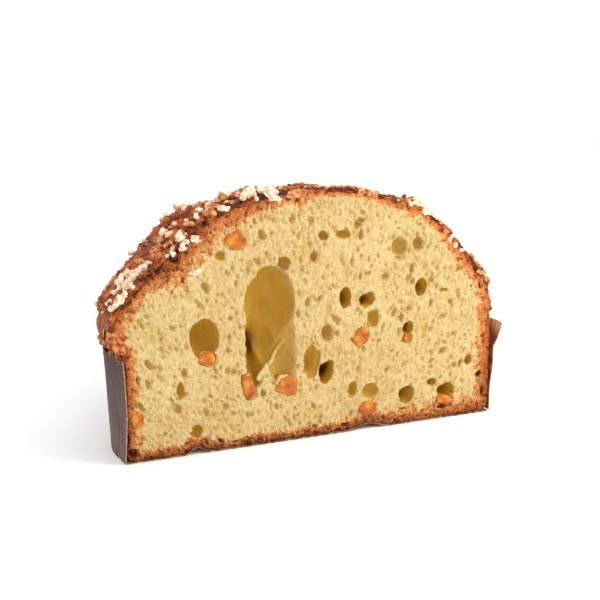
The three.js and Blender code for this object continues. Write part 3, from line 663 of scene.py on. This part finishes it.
BODY_VOXEL = 1.5 * MM
OVERLAP = 1 * MM
BODY_BAKE = 0.6
body = solid_copy("cake", "cake_body")
keep_side(body, CUT_Y + SLAB_DEPTH - OVERLAP, KEEP_BACK)
apply_modifier(body, "REMESH", mode="VOXEL", voxel_size=BODY_VOXEL)
points = vertex_array(body)
relief = crust_knobs(points)
above_rim = np.clip((points[:, 2] / MM - 53) / 3, 0, 1)
move_vertices(body, points + normal_array(body) * ((relief * above_rim - 0.1) * MM)[:, None])
angle = np.degrees(np.arctan2(points[:, 2] / MM - CUT_MIDDLE, points[:, 0] / MM))
far = np.clip((points[:, 1] - CUT_Y - SLAB_DEPTH) / (30 * MM), 0, 1)
store(body, "skin_share", np.zeros(len(points)))
store(body, "bake", np.interp(angle, EDGE_ANGLES, EDGE_BAKES) * (1 - far) + BODY_BAKE * far)
# Painted shade: the body's crust is darker in the low places between its knobs.
store(body, "crag", np.clip(0.7 - relief, 0, 2))
finish_piece(body, [crumb_material], "crumb", "cake")

# ------------------------------------------------------------------- almond glaze
# Ground almonds, sugar and egg white, spread on the dough and baked to a brown, cracked
# and grainy crust that hangs down to the rim of the paper. Its front has finer detail.

GLAZE_SPLIT = CUT_Y + 34 * MM
GLAZE_TRIANGLES = 150000


def glaze_relief(p):
    """Height of the baked glaze's blisters, cracks and grains at a point, in millimetres."""
    drift = Vector(p) + noise.noise_vector(Vector(p) * 90) * 3 * MM
    near, _ = noise.voronoi(drift * 120)
    blister = min((near[1] - near[0]) * 2.0, 1.0)
    lump = noise.fractal(Vector(p) * 240, 0.65, 2.1, 4)
    grain = noise.noise(Vector(p) * 900) + 0.5 * noise.noise(Vector(p) * 1900)
    return 1.1 * (blister - 0.85) + 0.75 * lump + 0.26 * grain - 0.25


def glaze_part(name, split, side, voxel):
    part = solid_copy("glaze", name)
    keep_side(part, split, side)
    apply_modifier(part, "REMESH", mode="VOXEL", voxel_size=voxel)
    points = vertex_array(part)
    above = crust_depth(points)
    outer = np.clip((above - 0.8) / 0.8, 0, 1)
    inner = np.clip((0.75 - above) / 0.3, 0, 1)
    # Near the cut the crown of the glaze has settled, and the knife has bitten its edge.
    near_cut = np.clip(1 - (points[:, 1] - CUT_Y) / (25 * MM), 0, 1)
    settled = 0.9 * near_cut * np.exp(-(((points[:, 0] / MM + 22) / 34) ** 2))
    relief = np.array([glaze_relief(p) for p in points]) - settled
    bites = np.clip(0.7 + 0.9 * noise_at(points, 420) + 0.5 * noise_at(points, 1100), 0, 2)
    points[:, 1] += bites * (points[:, 1] < CUT_Y + 0.5 * MM) * MM
    swell = relief * outer + 0.8 * inner
    move_vertices(part, points + normal_array(part) * (swell * MM)[:, None])
    store(part, "above_mm", above)
    store(part, "crack", relief)
    store(part, "cut_share", np.clip(1.6 - (points[:, 1] - CUT_Y) / MM, 0, 1))
    thin_out(part, GLAZE_TRIANGLES, above < 0.7)
    return part


front = glaze_part("glaze_front", GLAZE_SPLIT, KEEP_FRONT, 0.6 * MM)
back = glaze_part("glaze_back", GLAZE_SPLIT - 0.6 * MM, KEEP_BACK, 1.0 * MM)

# Sugar and almond baked to a caramel crust: half matt, nearly black in its cracks, orange
# brown between them and pale on its blisters. Its grit of about 1 mm shows as bump.
glaze_material, tree, where, shader = new_material("baked_almond_glaze")
crack_at, cut_at = (add_node(tree, "Attribute", attribute_name=name).outputs["Fac"]
                    for name in ("crack", "cut_share"))
coarse = add_node(tree, "TexNoise", {"Vector": where, "Scale": 90.0, "Detail": 4.0})
fine = add_node(tree, "TexNoise", {"Vector": where, "Scale": 800.0, "Detail": 5.0})
mixed = add_node(tree, "Math", {0: fine, 1: 0.9, 2: coarse}, operation="MULTIPLY_ADD")
cracked = add_node(tree, "Math", {0: crack_at, 1: 0.28, 2: mixed}, operation="MULTIPLY_ADD")
share = add_node(tree, "MapRange", {"Value": cracked, "From Min": 0.32, "From Max": 1.4})
tone = add_node(tree, "ValToRGB", {"Fac": share}, stops=[
    (0.05, "451607"), (0.25, "7c300d"), (0.45, "a8501d"), (0.62, "c27033"), (0.8, "d8944f"),
    (1.0, "edc493")])
cut_tone = add_node(tree, "ValToRGB", {"Fac": share}, stops=[
    (0.2, "451607"), (0.38, "86390f"), (0.55, "b25f25"), (0.75, "cc8440")])
both = add_node(tree, "Mix", {MIX_SHARE: cut_at, MIX_FROM: tone, MIX_TO: cut_tone},
                data_type="RGBA")
bump = add_node(tree, "Bump", {"Height": fine, "Strength": 0.8, "Distance": 0.0004})
plug(tree, shader, {"Base Color": both, "Roughness": 0.5, "Specular IOR Level": 0.22,
                    "Normal": bump})
for part in (front, back):
    finish_piece(part, [glaze_material], "glaze", "glaze")

# ------------------------------------------------------------ sugar, almond and flakes
# Scattered on the glaze before baking: grains of white pearl sugar, chopped almonds, and
# flakes where the glaze blistered and broke. They sit half sunk in it. Some dark flakes
# stand as painted shade just below the sugar ridge, the almonds and the crust's rim.

PHOTO_SIZE = 600
CAKE_IN_PHOTO = (300, 320)
NEAR_CUT = 0.8 * MM
RIM_ABOVE = 53 * MM
# Where the front shows them, as places of the camera's picture: across, down, half length.
SUGAR_RIDGE = [
    (149, 264), (142, 271), (136, 277), (131, 283), (126, 291), (120, 300), (115, 308), (112, 313)]
SUGAR_SEEN = [
    (131, 274, 3.4), (136, 271, 2.2), (119, 281, 3.6), (125, 284, 3.0), (117, 293, 3.2),
    (122, 288, 2.6), (110, 303, 2.6), (112, 310, 2.2), (103, 313, 1.4), (184, 237, 3.6),
    (187, 243, 2.6), (180, 249, 4.2), (173, 253, 2.6), (195, 238, 2.2), (198, 241, 1.8),
    (192, 273, 2.8), (198, 273, 2.6), (225, 209, 2.4), (203, 212, 2.8), (207, 206, 3.2),
    (215, 199, 3.0), (198, 218, 2.4), (175, 224, 2.2), (166, 234, 3.4), (161, 241, 2.6),
    (176, 207, 3.6), (182, 204, 3.4), (168, 214, 2.4), (142, 239, 2.4), (133, 252, 2.8),
    (267, 191, 4.0), (271, 194, 3.6), (276, 199, 3.4), (253, 194, 3.8), (247, 199, 3.4),
    (257, 198, 3.0), (250, 196, 5.6), (261, 193, 6.0), (273, 194, 5.0), (409, 199, 3.4),
    (416, 198, 3.6), (421, 201, 3.8), (425, 206, 3.6), (426, 212, 3.0), (432, 211, 3.4),
    (418, 202, 5.0), (428, 209, 4.6), (181, 239, 4.4), (436, 217, 2.6), (454, 233, 2.2),
    (448, 241, 2.6), (456, 244, 2.2), (462, 250, 2.0), (413, 204, 3.0),
]
FLAKE_SEEN = [
    (150, 256, 4.5), (157, 250, 4.5), (146, 262, 4.0), (165, 246, 4.0), (208, 214, 4.5),
    (214, 207, 4.5), (221, 200, 4.2), (224, 195, 4.0), (228, 203, 3.5), (190, 226, 4.0),
    (182, 232, 3.5), (172, 242, 3.0), (236, 194, 4.6), (243, 192, 4.4), (290, 196, 4.0),
    (297, 193, 4.0), (304, 192, 3.4), (319, 187, 3.2), (324, 189, 3.0), (362, 191, 3.6),
    (370, 193, 3.2), (376, 195, 3.0), (404, 201, 3.0), (442, 222, 3.4), (446, 230, 3.4),
    (450, 237, 3.0), (470, 256, 3.2), (476, 264, 3.6), (480, 272, 3.6), (484, 280, 3.4),
]
# Dark flakes set just below the sugar ridge, almonds and crust's rim: painted shade as lumps.
DARK_SEEN = [
    (152, 268, 2.2), (147, 272, 2.0), (141, 278, 2.2), (136, 284, 2.2), (131, 291, 2.2),
    (126, 299, 2.0), (121, 307, 2.0), (176, 260, 2.6), (181, 258, 2.2), (186, 256, 1.8),
    (219, 211, 2.2), (216, 215, 2.0), (290, 199, 2.4), (297, 199, 2.0), (393, 195, 2.6),
    (394, 201, 2.4), (396, 206, 2.0), (407, 207, 1.8), (476, 257, 2.6), (480, 267, 2.8),
    (479, 273, 2.6), (482, 281, 2.4), (109, 322, 2.0), (106, 334, 2.2), (104, 342, 2.0),
    (110, 330, 1.8), (223, 191, 1.8), (178, 217, 1.8), (365, 195, 1.8), (163, 229, 1.6),
]
# The crust's crumbly edge that hangs over the paper's rim at the left.
RIM_LINES = [
    [(102, 345), (107, 350), (113, 353), (119, 355), (125, 357)],
    [(101, 338), (108, 343), (116, 347), (124, 351)], [(106, 334), (114, 338), (122, 343)],
]
# The crust's loose flakes at the right shoulder: across and up in the cut, and half size.
SHOULDER_FLAKES = [
    (92.4, 83.6, 3.0), (94.6, 81.0, 3.6), (96.4, 77.8, 3.6), (97.8, 74.0, 3.6),
    (99.4, 69.6, 3.4), (101.0, 64.0, 2.8), (102.0, 58.5, 2.6),
]
# From this half length on, a patch of sugar lies flat.
SUGAR_PATCH = 4.2


def surface_tree(pieces):
    points, faces = [], []
    for piece in pieces:
        first = len(points)
        points.extend(v.co.copy() for v in piece.data.vertices)
        faces.extend([first + i for i in face.vertices] for face in piece.data.polygons)
    return BVHTree.FromPolygons(points, faces)


def seen_at(px, py):
    """Where the camera sees the cake at a place of its picture, and the way it faces there."""
    middle_x, middle_y = CAKE_IN_PHOTO
    for inward in range(20):
        shift = Vector((px - PHOTO_SIZE / 2, PHOTO_SIZE / 2 - py, 0)) * CAMERA_SENSOR / PHOTO_SIZE
        ray = EYE_TURN @ (shift + Vector((0, 0, -CAMERA_LENS)))
        spot, normal, _, _ = seen_surface.ray_cast(EYE, ray.normalized())
        if spot is not None:
            break
        px, py = px + (middle_x - px) / 150, py + (middle_y - py) / 100
    return spot, normal


def behind_cut(place):
    """Presses what would stand out of the cut plane into the last of a millimetre behind it."""
    over = CUT_Y + NEAR_CUT - place.y
    if over > 0:
        place.y = CUT_Y + NEAR_CUT * math.exp(-over / NEAR_CUT)
    return place


def lump_on(mesh, spot, normal, size, flat, long, detail, sunk, ragged):
    """Adds an angular lump that lies on the glaze. Size in millimetres, its half length."""
    along = Vector((rng.uniform(-1, 1), rng.uniform(-1, 1), rng.uniform(-0.4, 0.4)))
    side = normal.cross(along).normalized()
    along = side.cross(normal).normalized()
    offset = any_offset()
    tilt = rng.gauss(0, 0.25)

    def place(corner):
        coarse, fine = noise.noise(corner * 1.4 + offset), noise.noise(corner * 3.7 + offset)
        a, b, c = (value * (1 + ragged * coarse + ragged * 0.5 * fine) for value in corner)
        c += tilt * a
        height = c * size * flat + size * flat * (1 - sunk)
        return behind_cut(spot + (along * a * size + side * b * size * long + normal * height) * MM)

    add_ball(mesh, detail, place)


def cluster_at(mesh, px, py, size, lumps, spread, largest, flat, long, sunk, ragged):
    """Puts a few lumps side by side where the camera sees one crumb or grain."""
    spot, normal = seen_at(px, py)
    for lump in range(lumps if spot else 0):
        aside = Vector((rng.gauss(0, 1), rng.gauss(0, 1), rng.gauss(0, 0.5)))
        lump_on(mesh, spot + aside * size * spread * MM, normal,
                size * rng.uniform(0.4, largest), flat, long, 3, sunk, ragged)


def random_spot():
    """A place on the baked crust above the paper, found from above or from all round."""
    while True:
        if rng.random() < 0.62:
            start = Vector((rng.uniform(-108, 108), rng.uniform(-76, 76), 140)) * MM
            aim = Vector((rng.gauss(0, 0.5), rng.gauss(0, 0.5), -1)).normalized()
        else:
            turn = rng.uniform(0, 2 * math.pi)
            start = Vector((200 * math.cos(turn), 200 * math.sin(turn), rng.uniform(50, 90))) * MM
            end = Vector((rng.uniform(-60, 60), rng.uniform(-50, 20), rng.uniform(50, 80))) * MM
            aim = (end - start).normalized()
        spot, normal, _, _ = seen_surface.ray_cast(start, aim)
        if spot is None or spot.z < RIM_ABOVE or spot.y < CUT_Y + 1.2 * MM:
            continue
        if glaze_surface.find_nearest(spot)[3] < 0.3 * MM:
            return spot, normal


def seen_line(line, step):
    for (xa, ya), (xb, yb) in zip(line, line[1:]):
        count = max(1, int(math.hypot(xb - xa, yb - ya) / step))
        for i in range(count):
            yield xa + (xb - xa) * i / count, ya + (yb - ya) * i / count


EYE, EYE_TURN = Vector(CAMERA_PLACE), camera.rotation_euler.to_matrix()
glaze_surface = surface_tree((front, back))
seen_surface = surface_tree((front, back, body, crumb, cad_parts["paper_wall"]))
sugar, almond, flake, grit = ([], []), ([], []), ([], []), ([], [])
for x, z, size in SHOULDER_FLAKES:
    for mesh in (almond, flake, almond, flake, grit, almond):
        deep = 1.6 + 9 * rng.random() ** 1.5
        half = size * rng.uniform(0.5, 1.0) * (1 - deep / 25)
        middle = (x + FRAME_X + rng.gauss(0, 0.6) - 0.14 * deep, cut + deep + 1.2,
                  z + rng.gauss(0, 1.8))
        add_blob(mesh, middle, (half * 0.75, half * rng.uniform(0.5, 0.9), half * 1.1),
                 rng.gauss(-20, 20), 3, 0.5)
for line in RIM_LINES:
    for px, py in seen_line(line, 2.6):
        spot, normal = seen_at(px + rng.gauss(0, 0.8), py + rng.gauss(0, 1.2))
        if spot is not None:
            lump_on(grit, spot, normal, rng.uniform(1.6, 3.0), 0.6, 0.8, 3, 0.6, 0.5)
for px, py in seen_line(SUGAR_RIDGE, 2.2):
    spot, normal = seen_at(px + rng.gauss(0, 0.6), py + rng.gauss(0, 0.6))
    if spot is not None:
        lump_on(sugar, spot, normal, rng.uniform(1.4, 2.6), 0.7, 0.6, 3, 0.4, 0.45)
for px, py, size in SUGAR_SEEN:
    cluster_at(sugar, px, py, size, 3, 0.35, 0.75, 0.6 if size < SUGAR_PATCH else 0.28,
               0.65, 0.45, 0.45)
for places, mesh, flat in ((FLAKE_SEEN, almond, 0.4), (DARK_SEEN, flake, 0.5)):
    for px, py, size in places:
        cluster_at(mesh, px, py, size, 2, 0.3, 0.65, flat, 0.7, 0.4, 0.5)
# Scattered all over: how many, least and most half length, flatness, width and detail.
for mesh, count, low, high, flat, long, detail in (
        (sugar, 130, 0.8, 2.4, 0.7, 0.7, 2), (almond, 260, 1.2, 2.8, 0.35, 0.65, 2),
        (flake, 260, 0.9, 2.2, 0.4, 0.7, 2), (grit, 2600, 0.3, 0.8, 0.8, 0.85, 1)):
    for item in range(count):
        spot, normal = random_spot()
        lump_on(mesh, spot, normal, rng.uniform(low, high), flat, long, detail, 0.4, 0.45)


def baked_grain_material(name, tones, roughness, scatter):
    """A dry baked thing with tones that change over about a millimetre, and a dull skin."""
    material, tree, where, shader = new_material(name)
    cloud = add_node(tree, "TexNoise", {"Vector": where, "Scale": 420.0, "Detail": 4.0})
    tone = add_node(tree, "ValToRGB", {"Fac": cloud}, stops=list(zip((0.36, 0.5, 0.64), tones)))
    bump = add_node(tree, "Bump", {"Height": cloud, "Strength": 0.5, "Distance": 0.0004})
    plug(tree, shader, {
        "Base Color": tone, "Roughness": roughness, "Specular IOR Level": 0.3,
        "Subsurface Weight": scatter, "Subsurface Radius": (1.0, 0.8, 0.6),
        "Subsurface Scale": 0.001, "Normal": bump})
    return material


# Pearl sugar lets some light in, so it looks soft and white. Almond scatters a little.
for mesh, name, tones, roughness, scatter in (
        (sugar, "pearl_sugar", ("d9a676", "eed2b2", "faeede"), 0.55, 0.3),
        (almond, "chopped_almond", ("9c5220", "c68043", "e0ac78"), 0.6, 0.1),
        (flake, "dark_glaze_flakes_and_shade", ("3f180a", "6a2f14", "96522c"), 0.6, 0.0),
        (grit, "glaze_crumbs", ("6e2a0c", "b05c26", "d9935a"), 0.6, 0.0)):
    material = baked_grain_material(name + "_surface", tones, roughness, scatter)
    finish_piece(as_object(mesh, name), [material], "glaze")

# ------------------------------------------------------------------- candied peel
# Cubes of orange peel boiled in syrup, bared by the knife. Each lies in its own bed of
# crumb, rounded where the knife has dragged over its edge.

PEEL_VOXEL = 0.4 * MM
PEEL_ROUNDS = 60
# Candied orange peel: syrup gives it a thin wet gloss, and light goes deep into it, so it
# glows orange. It is darker where it meets the crumb.
peel_material, tree, where, shader = new_material("candied_orange_peel")
cloud = add_node(tree, "TexNoise", {"Vector": where, "Scale": 240.0, "Detail": 3.0})
tone = add_node(tree, "ValToRGB", {"Fac": cloud},
                stops=[(0.32, "9c4008"), (0.5, "ba650b"), (0.68, "d58c1b")])
rim_at = add_node(tree, "Attribute", attribute_name="rim").outputs["Fac"]
rim = add_node(tree, "MapRange", {"Value": rim_at, "From Min": 0.7, "From Max": 1.15,
                                  "To Max": 0.75})
sunken = add_node(tree, "Mix", {MIX_SHARE: rim, MIX_FROM: tone, MIX_TO: linear("b96a22")},
                  data_type="RGBA")
bump = add_node(tree, "Bump", {"Height": cloud, "Strength": 0.5, "Distance": 0.0006})
plug(tree, shader, {
    "Base Color": sunken, "Roughness": 0.3, "Specular IOR Level": 0.25, "Coat Weight": 0.3,
    "Coat Roughness": 0.06, "Subsurface Weight": 0.3, "Subsurface Radius": (1.0, 0.4, 0.1),
    "Subsurface Scale": 0.0025, "Normal": bump})
for node in PEEL_NODES:
    peel = solid_copy(node, node.replace("candied", "orange"))
    apply_modifier(peel, "REMESH", mode="VOXEL", voxel_size=PEEL_VOXEL)
    apply_modifier(peel, "SMOOTH", iterations=PEEL_ROUNDS, factor=0.5)
    points = vertex_array(peel)
    middle = (points.max(axis=0) + points.min(axis=0)) / 2
    half = (points.max(axis=0) - points.min(axis=0)) / 2
    away = np.hypot((points[:, 0] - middle[0]) / half[0], (points[:, 2] - middle[2]) / half[2])
    relief = (0.3 + noise_at(points, 120) * 1.8 + noise_at(points, 300) * 0.9
              + noise_at(points, 620) * 0.3)
    move_vertices(peel, points + normal_array(peel) * (relief * MM)[:, None])
    points = vertex_array(peel)
    facing = np.clip((CUT_Y + 2.5 * MM - points[:, 1]) / (2 * MM), 0, 1)
    points[:, 1] += facing * np.clip(away, 0, 1.15) ** 6 * 1.3 * MM
    move_vertices(peel, points)
    store(peel, "rim", np.clip(away, 0, 1.3))
    peel.data.shade_smooth()
    finish_piece(peel, [peel_material], "peel", node)

# ---------------------------------------------------------------------- paper wall
# The wall of the baking case: brown greaseproof paper pressed into fine upright ribs,
# its cut edges raw and tan. The right rim has torn loose from the crust at the cut.

SECTION_SHIFT = Vector((0.5217, 76.4308, 0))
HALF_SPAN, WING_STRAIGHT, WING_RADIUS, WAIST_RADIUS = 102.5, 18, 45, 18
TAIL_RADIUS, TAIL_CENTRE = 56, 95
CASE_HEIGHT, LEFT_BOW, RIM_WAVE = 52, 1.4, 0.7
FLAP_REACH, FLAP_DROP, FLAP_FOOT, FLAP_LENGTH = 6.4, 1.9, 37, 22
WALL_FOOT = 1.1
RIB_PITCH, RIB_HEIGHT, PAPER_THICK = 2.3, 0.15, 0.45
LEFT_FLARE, RIGHT_LOOSE = 2.6, 1.6
WALL_LEVELS, WALL_STEP = 20, 0.3
RIBBED, EDGE, STAINED_SHADED = 0, 1, 2


def smooth_step(value, low, high):
    t = min(max((value - low) / (high - low), 0), 1)
    return t * t * (3 - 2 * t)


def arc_points(centre, radius, start, stop, step):
    count = max(2, int(abs(stop - start) * radius / step))
    for i in range(count):
        angle = start + (stop - start) * i / count
        yield centre + Vector((math.cos(angle), math.sin(angle))) * radius


def half_plan(step):
    """The case's plan behind the cut, from its right end round the tail to its left end."""
    wing, tail = Vector((HALF_SPAN - WING_RADIUS, WING_STRAIGHT)), Vector((0, TAIL_CENTRE))
    between = tail - wing
    reach_wing, reach_tail = WING_RADIUS + WAIST_RADIUS, TAIL_RADIUS + WAIST_RADIUS
    along = (reach_wing ** 2 - reach_tail ** 2 + between.length ** 2) / (2 * between.length)
    aside = math.sqrt(reach_wing ** 2 - along ** 2)
    unit = between / between.length
    waist = wing + unit * along + Vector((unit.y, -unit.x)) * aside
    to_waist = math.atan2(waist.y - wing.y, waist.x - wing.x)
    from_tail = math.atan2(waist.y - tail.y, waist.x - tail.x)
    quarter = [Vector((HALF_SPAN, y)) for y in np.arange(0, WING_STRAIGHT, step)]
    quarter += arc_points(wing, WING_RADIUS, 0, to_waist, step)
    quarter += arc_points(waist, WAIST_RADIUS, to_waist + math.pi, from_tail + math.pi, step)
    quarter += arc_points(tail, TAIL_RADIUS, from_tail, math.pi / 2, step)
    tip = Vector((0, TAIL_CENTRE + TAIL_RADIUS))
    return quarter + [tip] + [Vector((-p.x, p.y)) for p in reversed(quarter)]


def paper_lean(p, level):
    """How far the wall leans out at a place of its plan and a height above the table."""
    near_cut = 1 - smooth_step(p.y, 4, FLAP_LENGTH + 20)
    if p.x < 0:
        flared = smooth_step(p.y, 4, 18) * (1 - smooth_step(p.y, 60, 90))
        flare = LEFT_FLARE * (level / CASE_HEIGHT) * flared
        return flare - LEFT_BOW * math.sin(math.pi * level / CASE_HEIGHT) * near_cut
    up = max(level - FLAP_FOOT, 0) / (CASE_HEIGHT - FLAP_FOOT)
    loose = RIGHT_LOOSE * smooth_step(level, 12, 30) + FLAP_REACH * up ** 0.7
    return loose * (1 - smooth_step(p.y, 0, FLAP_LENGTH))


def rim_height(p):
    turn = math.atan2(p.y, p.x)
    wave = RIM_WAVE * (math.sin(5 * turn + 0.8) + 0.6 * math.sin(13 * turn)) - 2 * RIM_WAVE
    drop = FLAP_DROP * (1 - smooth_step(p.y, 0, FLAP_LENGTH)) if p.x > 0 else 0
    return CASE_HEIGHT + wave - drop


def in_frame(x, y, z):
    """A place in millimetres from the cut's foot, in the part's own frame in metres."""
    return (Vector((x, y, z)) - SECTION_SHIFT) * MM


def paper_sheet(name, front, rear):
    """A closed sheet between two grids of places, and a mark for the side each face is on."""
    columns, levels = len(front), len(front[0])
    corners = [corner for grid in (front, rear) for column in grid for corner in column]
    faces, marks = [], []

    def add_face(*places, turned=False, mark=RIBBED):
        face = [(grid * columns + column) * levels + level for grid, column, level in places]
        faces.append(face[::-1] if turned else face)
        marks.append(mark)

    for i in range(columns - 1):
        for k in range(levels - 1):
            add_face((0, i, k), (0, i + 1, k), (0, i + 1, k + 1), (0, i, k + 1))
            add_face((1, i, k), (1, i, k + 1), (1, i + 1, k + 1), (1, i + 1, k), mark=STAINED_SHADED)
        for k in (0, levels - 1):
            add_face((0, i, k), (1, i, k), (1, i + 1, k), (0, i + 1, k), turned=k > 0)
    for i in (0, columns - 1):
        for k in range(levels - 1):
            add_face((0, i, k), (0, i, k + 1), (1, i, k + 1), (1, i, k), turned=i > 0, mark=EDGE)
    return as_object((corners, faces), name), marks


plan = half_plan(WALL_STEP)
travelled = 0
outer, inner = [], []
for i, p in enumerate(plan):
    before, after = plan[max(i - 1, 0)], plan[min(i + 1, len(plan) - 1)]
    run = (after - before).normalized()
    outward = Vector((run.y, -run.x))
    travelled += (p - before).length
    rib = RIB_HEIGHT * math.sin(2 * math.pi * travelled / RIB_PITCH)
    top = rim_height(p)
    for grid, inset in ((outer, 0), (inner, PAPER_THICK)):
        grid.append([])
        for k in range(WALL_LEVELS):
            level = WALL_FOOT + (top - WALL_FOOT) * k / (WALL_LEVELS - 1)
            crease = 0.2 * noise.noise(Vector((travelled / 9, level / 16, 0)))
            push = paper_lean(p, min(level, CASE_HEIGHT)) + rib + crease - inset
            spot = p + outward * push
            grid[-1].append(in_frame(spot.x, max(spot.y, 0), level))
wall, sides = paper_sheet("case_wall", outer, inner)
edit(wall, bpy.ops.mesh.normals_make_consistent, inside=False)
wall.data.polygons.foreach_set("material_index", sides)

# Greaseproof paper, calendered and pressed into ribs: a faint sheen painted in upright
# streaks, and painted shade making it darker towards its rim.
ribbed_paper, tree, where, shader = new_material("brown_greaseproof_paper")
stretch = add_node(tree, "Mapping", {"Vector": where, "Scale": (1.0, 1.0, 0.08)})
streak = add_node(tree, "TexNoise", {"Vector": stretch, "Scale": 1000.0, "Detail": 4.0})
fibre = add_node(tree, "TexNoise", {"Vector": where, "Scale": 1600.0, "Detail": 3.0})
# Painted sheen: lighter upright streaks.
tone = add_node(tree, "ValToRGB", {"Fac": streak},
                stops=[(0.3, "4a342e"), (0.5, "604a44"), (0.7, "7b6661")])
height = add_node(tree, "SeparateXYZ", {"Vector": where}).outputs["Z"]
# Painted shade: the wall turns darker towards its rim.
rim_shade_share = add_node(tree, "MapRange", {"Value": height, "From Min": 0.01, "From Max": 0.05})
rim_shaded = add_node(tree, "Mix", {MIX_SHARE: rim_shade_share, MIX_FROM: tone, MIX_TO: linear("49302a")},
                  data_type="RGBA")
bump = add_node(tree, "Bump", {"Height": fibre, "Strength": 0.3, "Distance": 0.0002})
plug(tree, shader, {"Base Color": rim_shaded, "Roughness": 0.55, "Specular IOR Level": 0.4,
                    "Normal": bump})


def mottled_paper(name, scale, detail, stops, roughness):
    """Bare or stained paper: dull, its fibres or stains told apart by tone alone."""
    material, tree, where, shader = new_material(name)
    cloud = add_node(tree, "TexNoise", {"Vector": where, "Scale": scale, "Detail": detail})
    tone = add_node(tree, "ValToRGB", {"Fac": cloud}, stops=stops)
    plug(tree, shader, {"Base Color": tone, "Roughness": roughness})
    return material, tree, where, shader, tone


raw_edge = mottled_paper("raw_paper_edge", 900.0, 3.0, [(0.35, "8f6340"), (0.65, "cda680")],
                         0.8)[0]
# The inside, stained by the crust and darkened by painted shade, with painted light making
# it pale at the tip of the loose flap.
stained, tree, where, shader, tone = mottled_paper(
    "crust_stained_shaded_paper", 130.0, 4.0, [(0.35, "5a240c"), (0.52, "8a4a22"), (0.68, "b98050")],
    0.6)
aside = add_node(tree, "SeparateXYZ", {"Vector": where}).outputs["X"]
lit_tip_share = add_node(tree, "MapRange", {"Value": aside, "From Min": 0.1058, "From Max": 0.1078})
# Painted light: pale tan at the tip of the loose flap.
dry = add_node(tree, "Mix", {MIX_SHARE: lit_tip_share, MIX_FROM: tone, MIX_TO: linear("d2a67c")},
               data_type="RGBA")
plug(tree, shader, {"Base Color": dry})
finish_piece(wall, [ribbed_paper, raw_edge, stained], "case_paper", "paper_wall")

# ---------------------------------------------------------------------- base paper
# The sheet under the cake: brown paper, soaked and stained by the crust, with a raw,
# wavy edge along the cut, and two small arches where it came loose.

# Each arch's middle across, half width and height.
PAPER_ARCHES = [(-66.2, 7, 2.9), (27, 14, 2.5)]
ARCH_DEPTH = 12
BASE_THICK, BASE_STEP = 0.55, 0.5
BASE_ROWS = [0, 0.6, 1.4, 2.6, 4.2, 6.5, 9.5, 13]
BASE_JOIN = CUT_Y + 12.6 * MM


def quarter_wave(share):
    """Falls smoothly from 1 to 0 as a share goes from 0 to 1."""
    return math.cos(min(share, 1) * math.pi / 2) ** 2


def paper_lift(x, y):
    """Height of the base paper above the table in its two arches."""
    fade = quarter_wave(max(y, 0) / ARCH_DEPTH)
    return sum(high * fade * quarter_wave(abs(x - middle) / half)
               for middle, half, high in PAPER_ARCHES)


upper, lower = [], []
for x in np.arange(-HALF_SPAN + 0.3, HALF_SPAN - 0.2, BASE_STEP):
    upper.append([])
    lower.append([])
    hem = 0.5 + 0.5 * noise.noise(Vector((x / 2.3, 0, 5)))
    for row in BASE_ROWS:
        y = row + hem * max(0, 1 - row / 3)
        fold = max(0, 1 - row / 5)
        wave = fold * (0.32 + 0.32 * noise.noise(Vector((x / 3.1, row / 4, 8)))
                       + 0.2 * noise.noise(Vector((x / 1.1, row, 2))))
        low = paper_lift(x, y) + max(wave, 0)
        lower[-1].append(in_frame(x, y, low))
        upper[-1].append(in_frame(x, y, low + BASE_THICK))
strip, _ = paper_sheet("base_strip", upper, lower)
base = solid_copy("paper_base", "base_paper")
keep_side(base, BASE_JOIN, KEEP_BACK)
select_only(base)
strip.select_set(True)
bpy.ops.object.join()
base_material = mottled_paper("stained_base_paper", 330.0, 4.0,
                              [(0.36, "4e2a12"), (0.5, "8a5a34"), (0.64, "b98d62")], 0.75)[0]
finish_piece(base, [base_material], "base_paper", "paper_base")
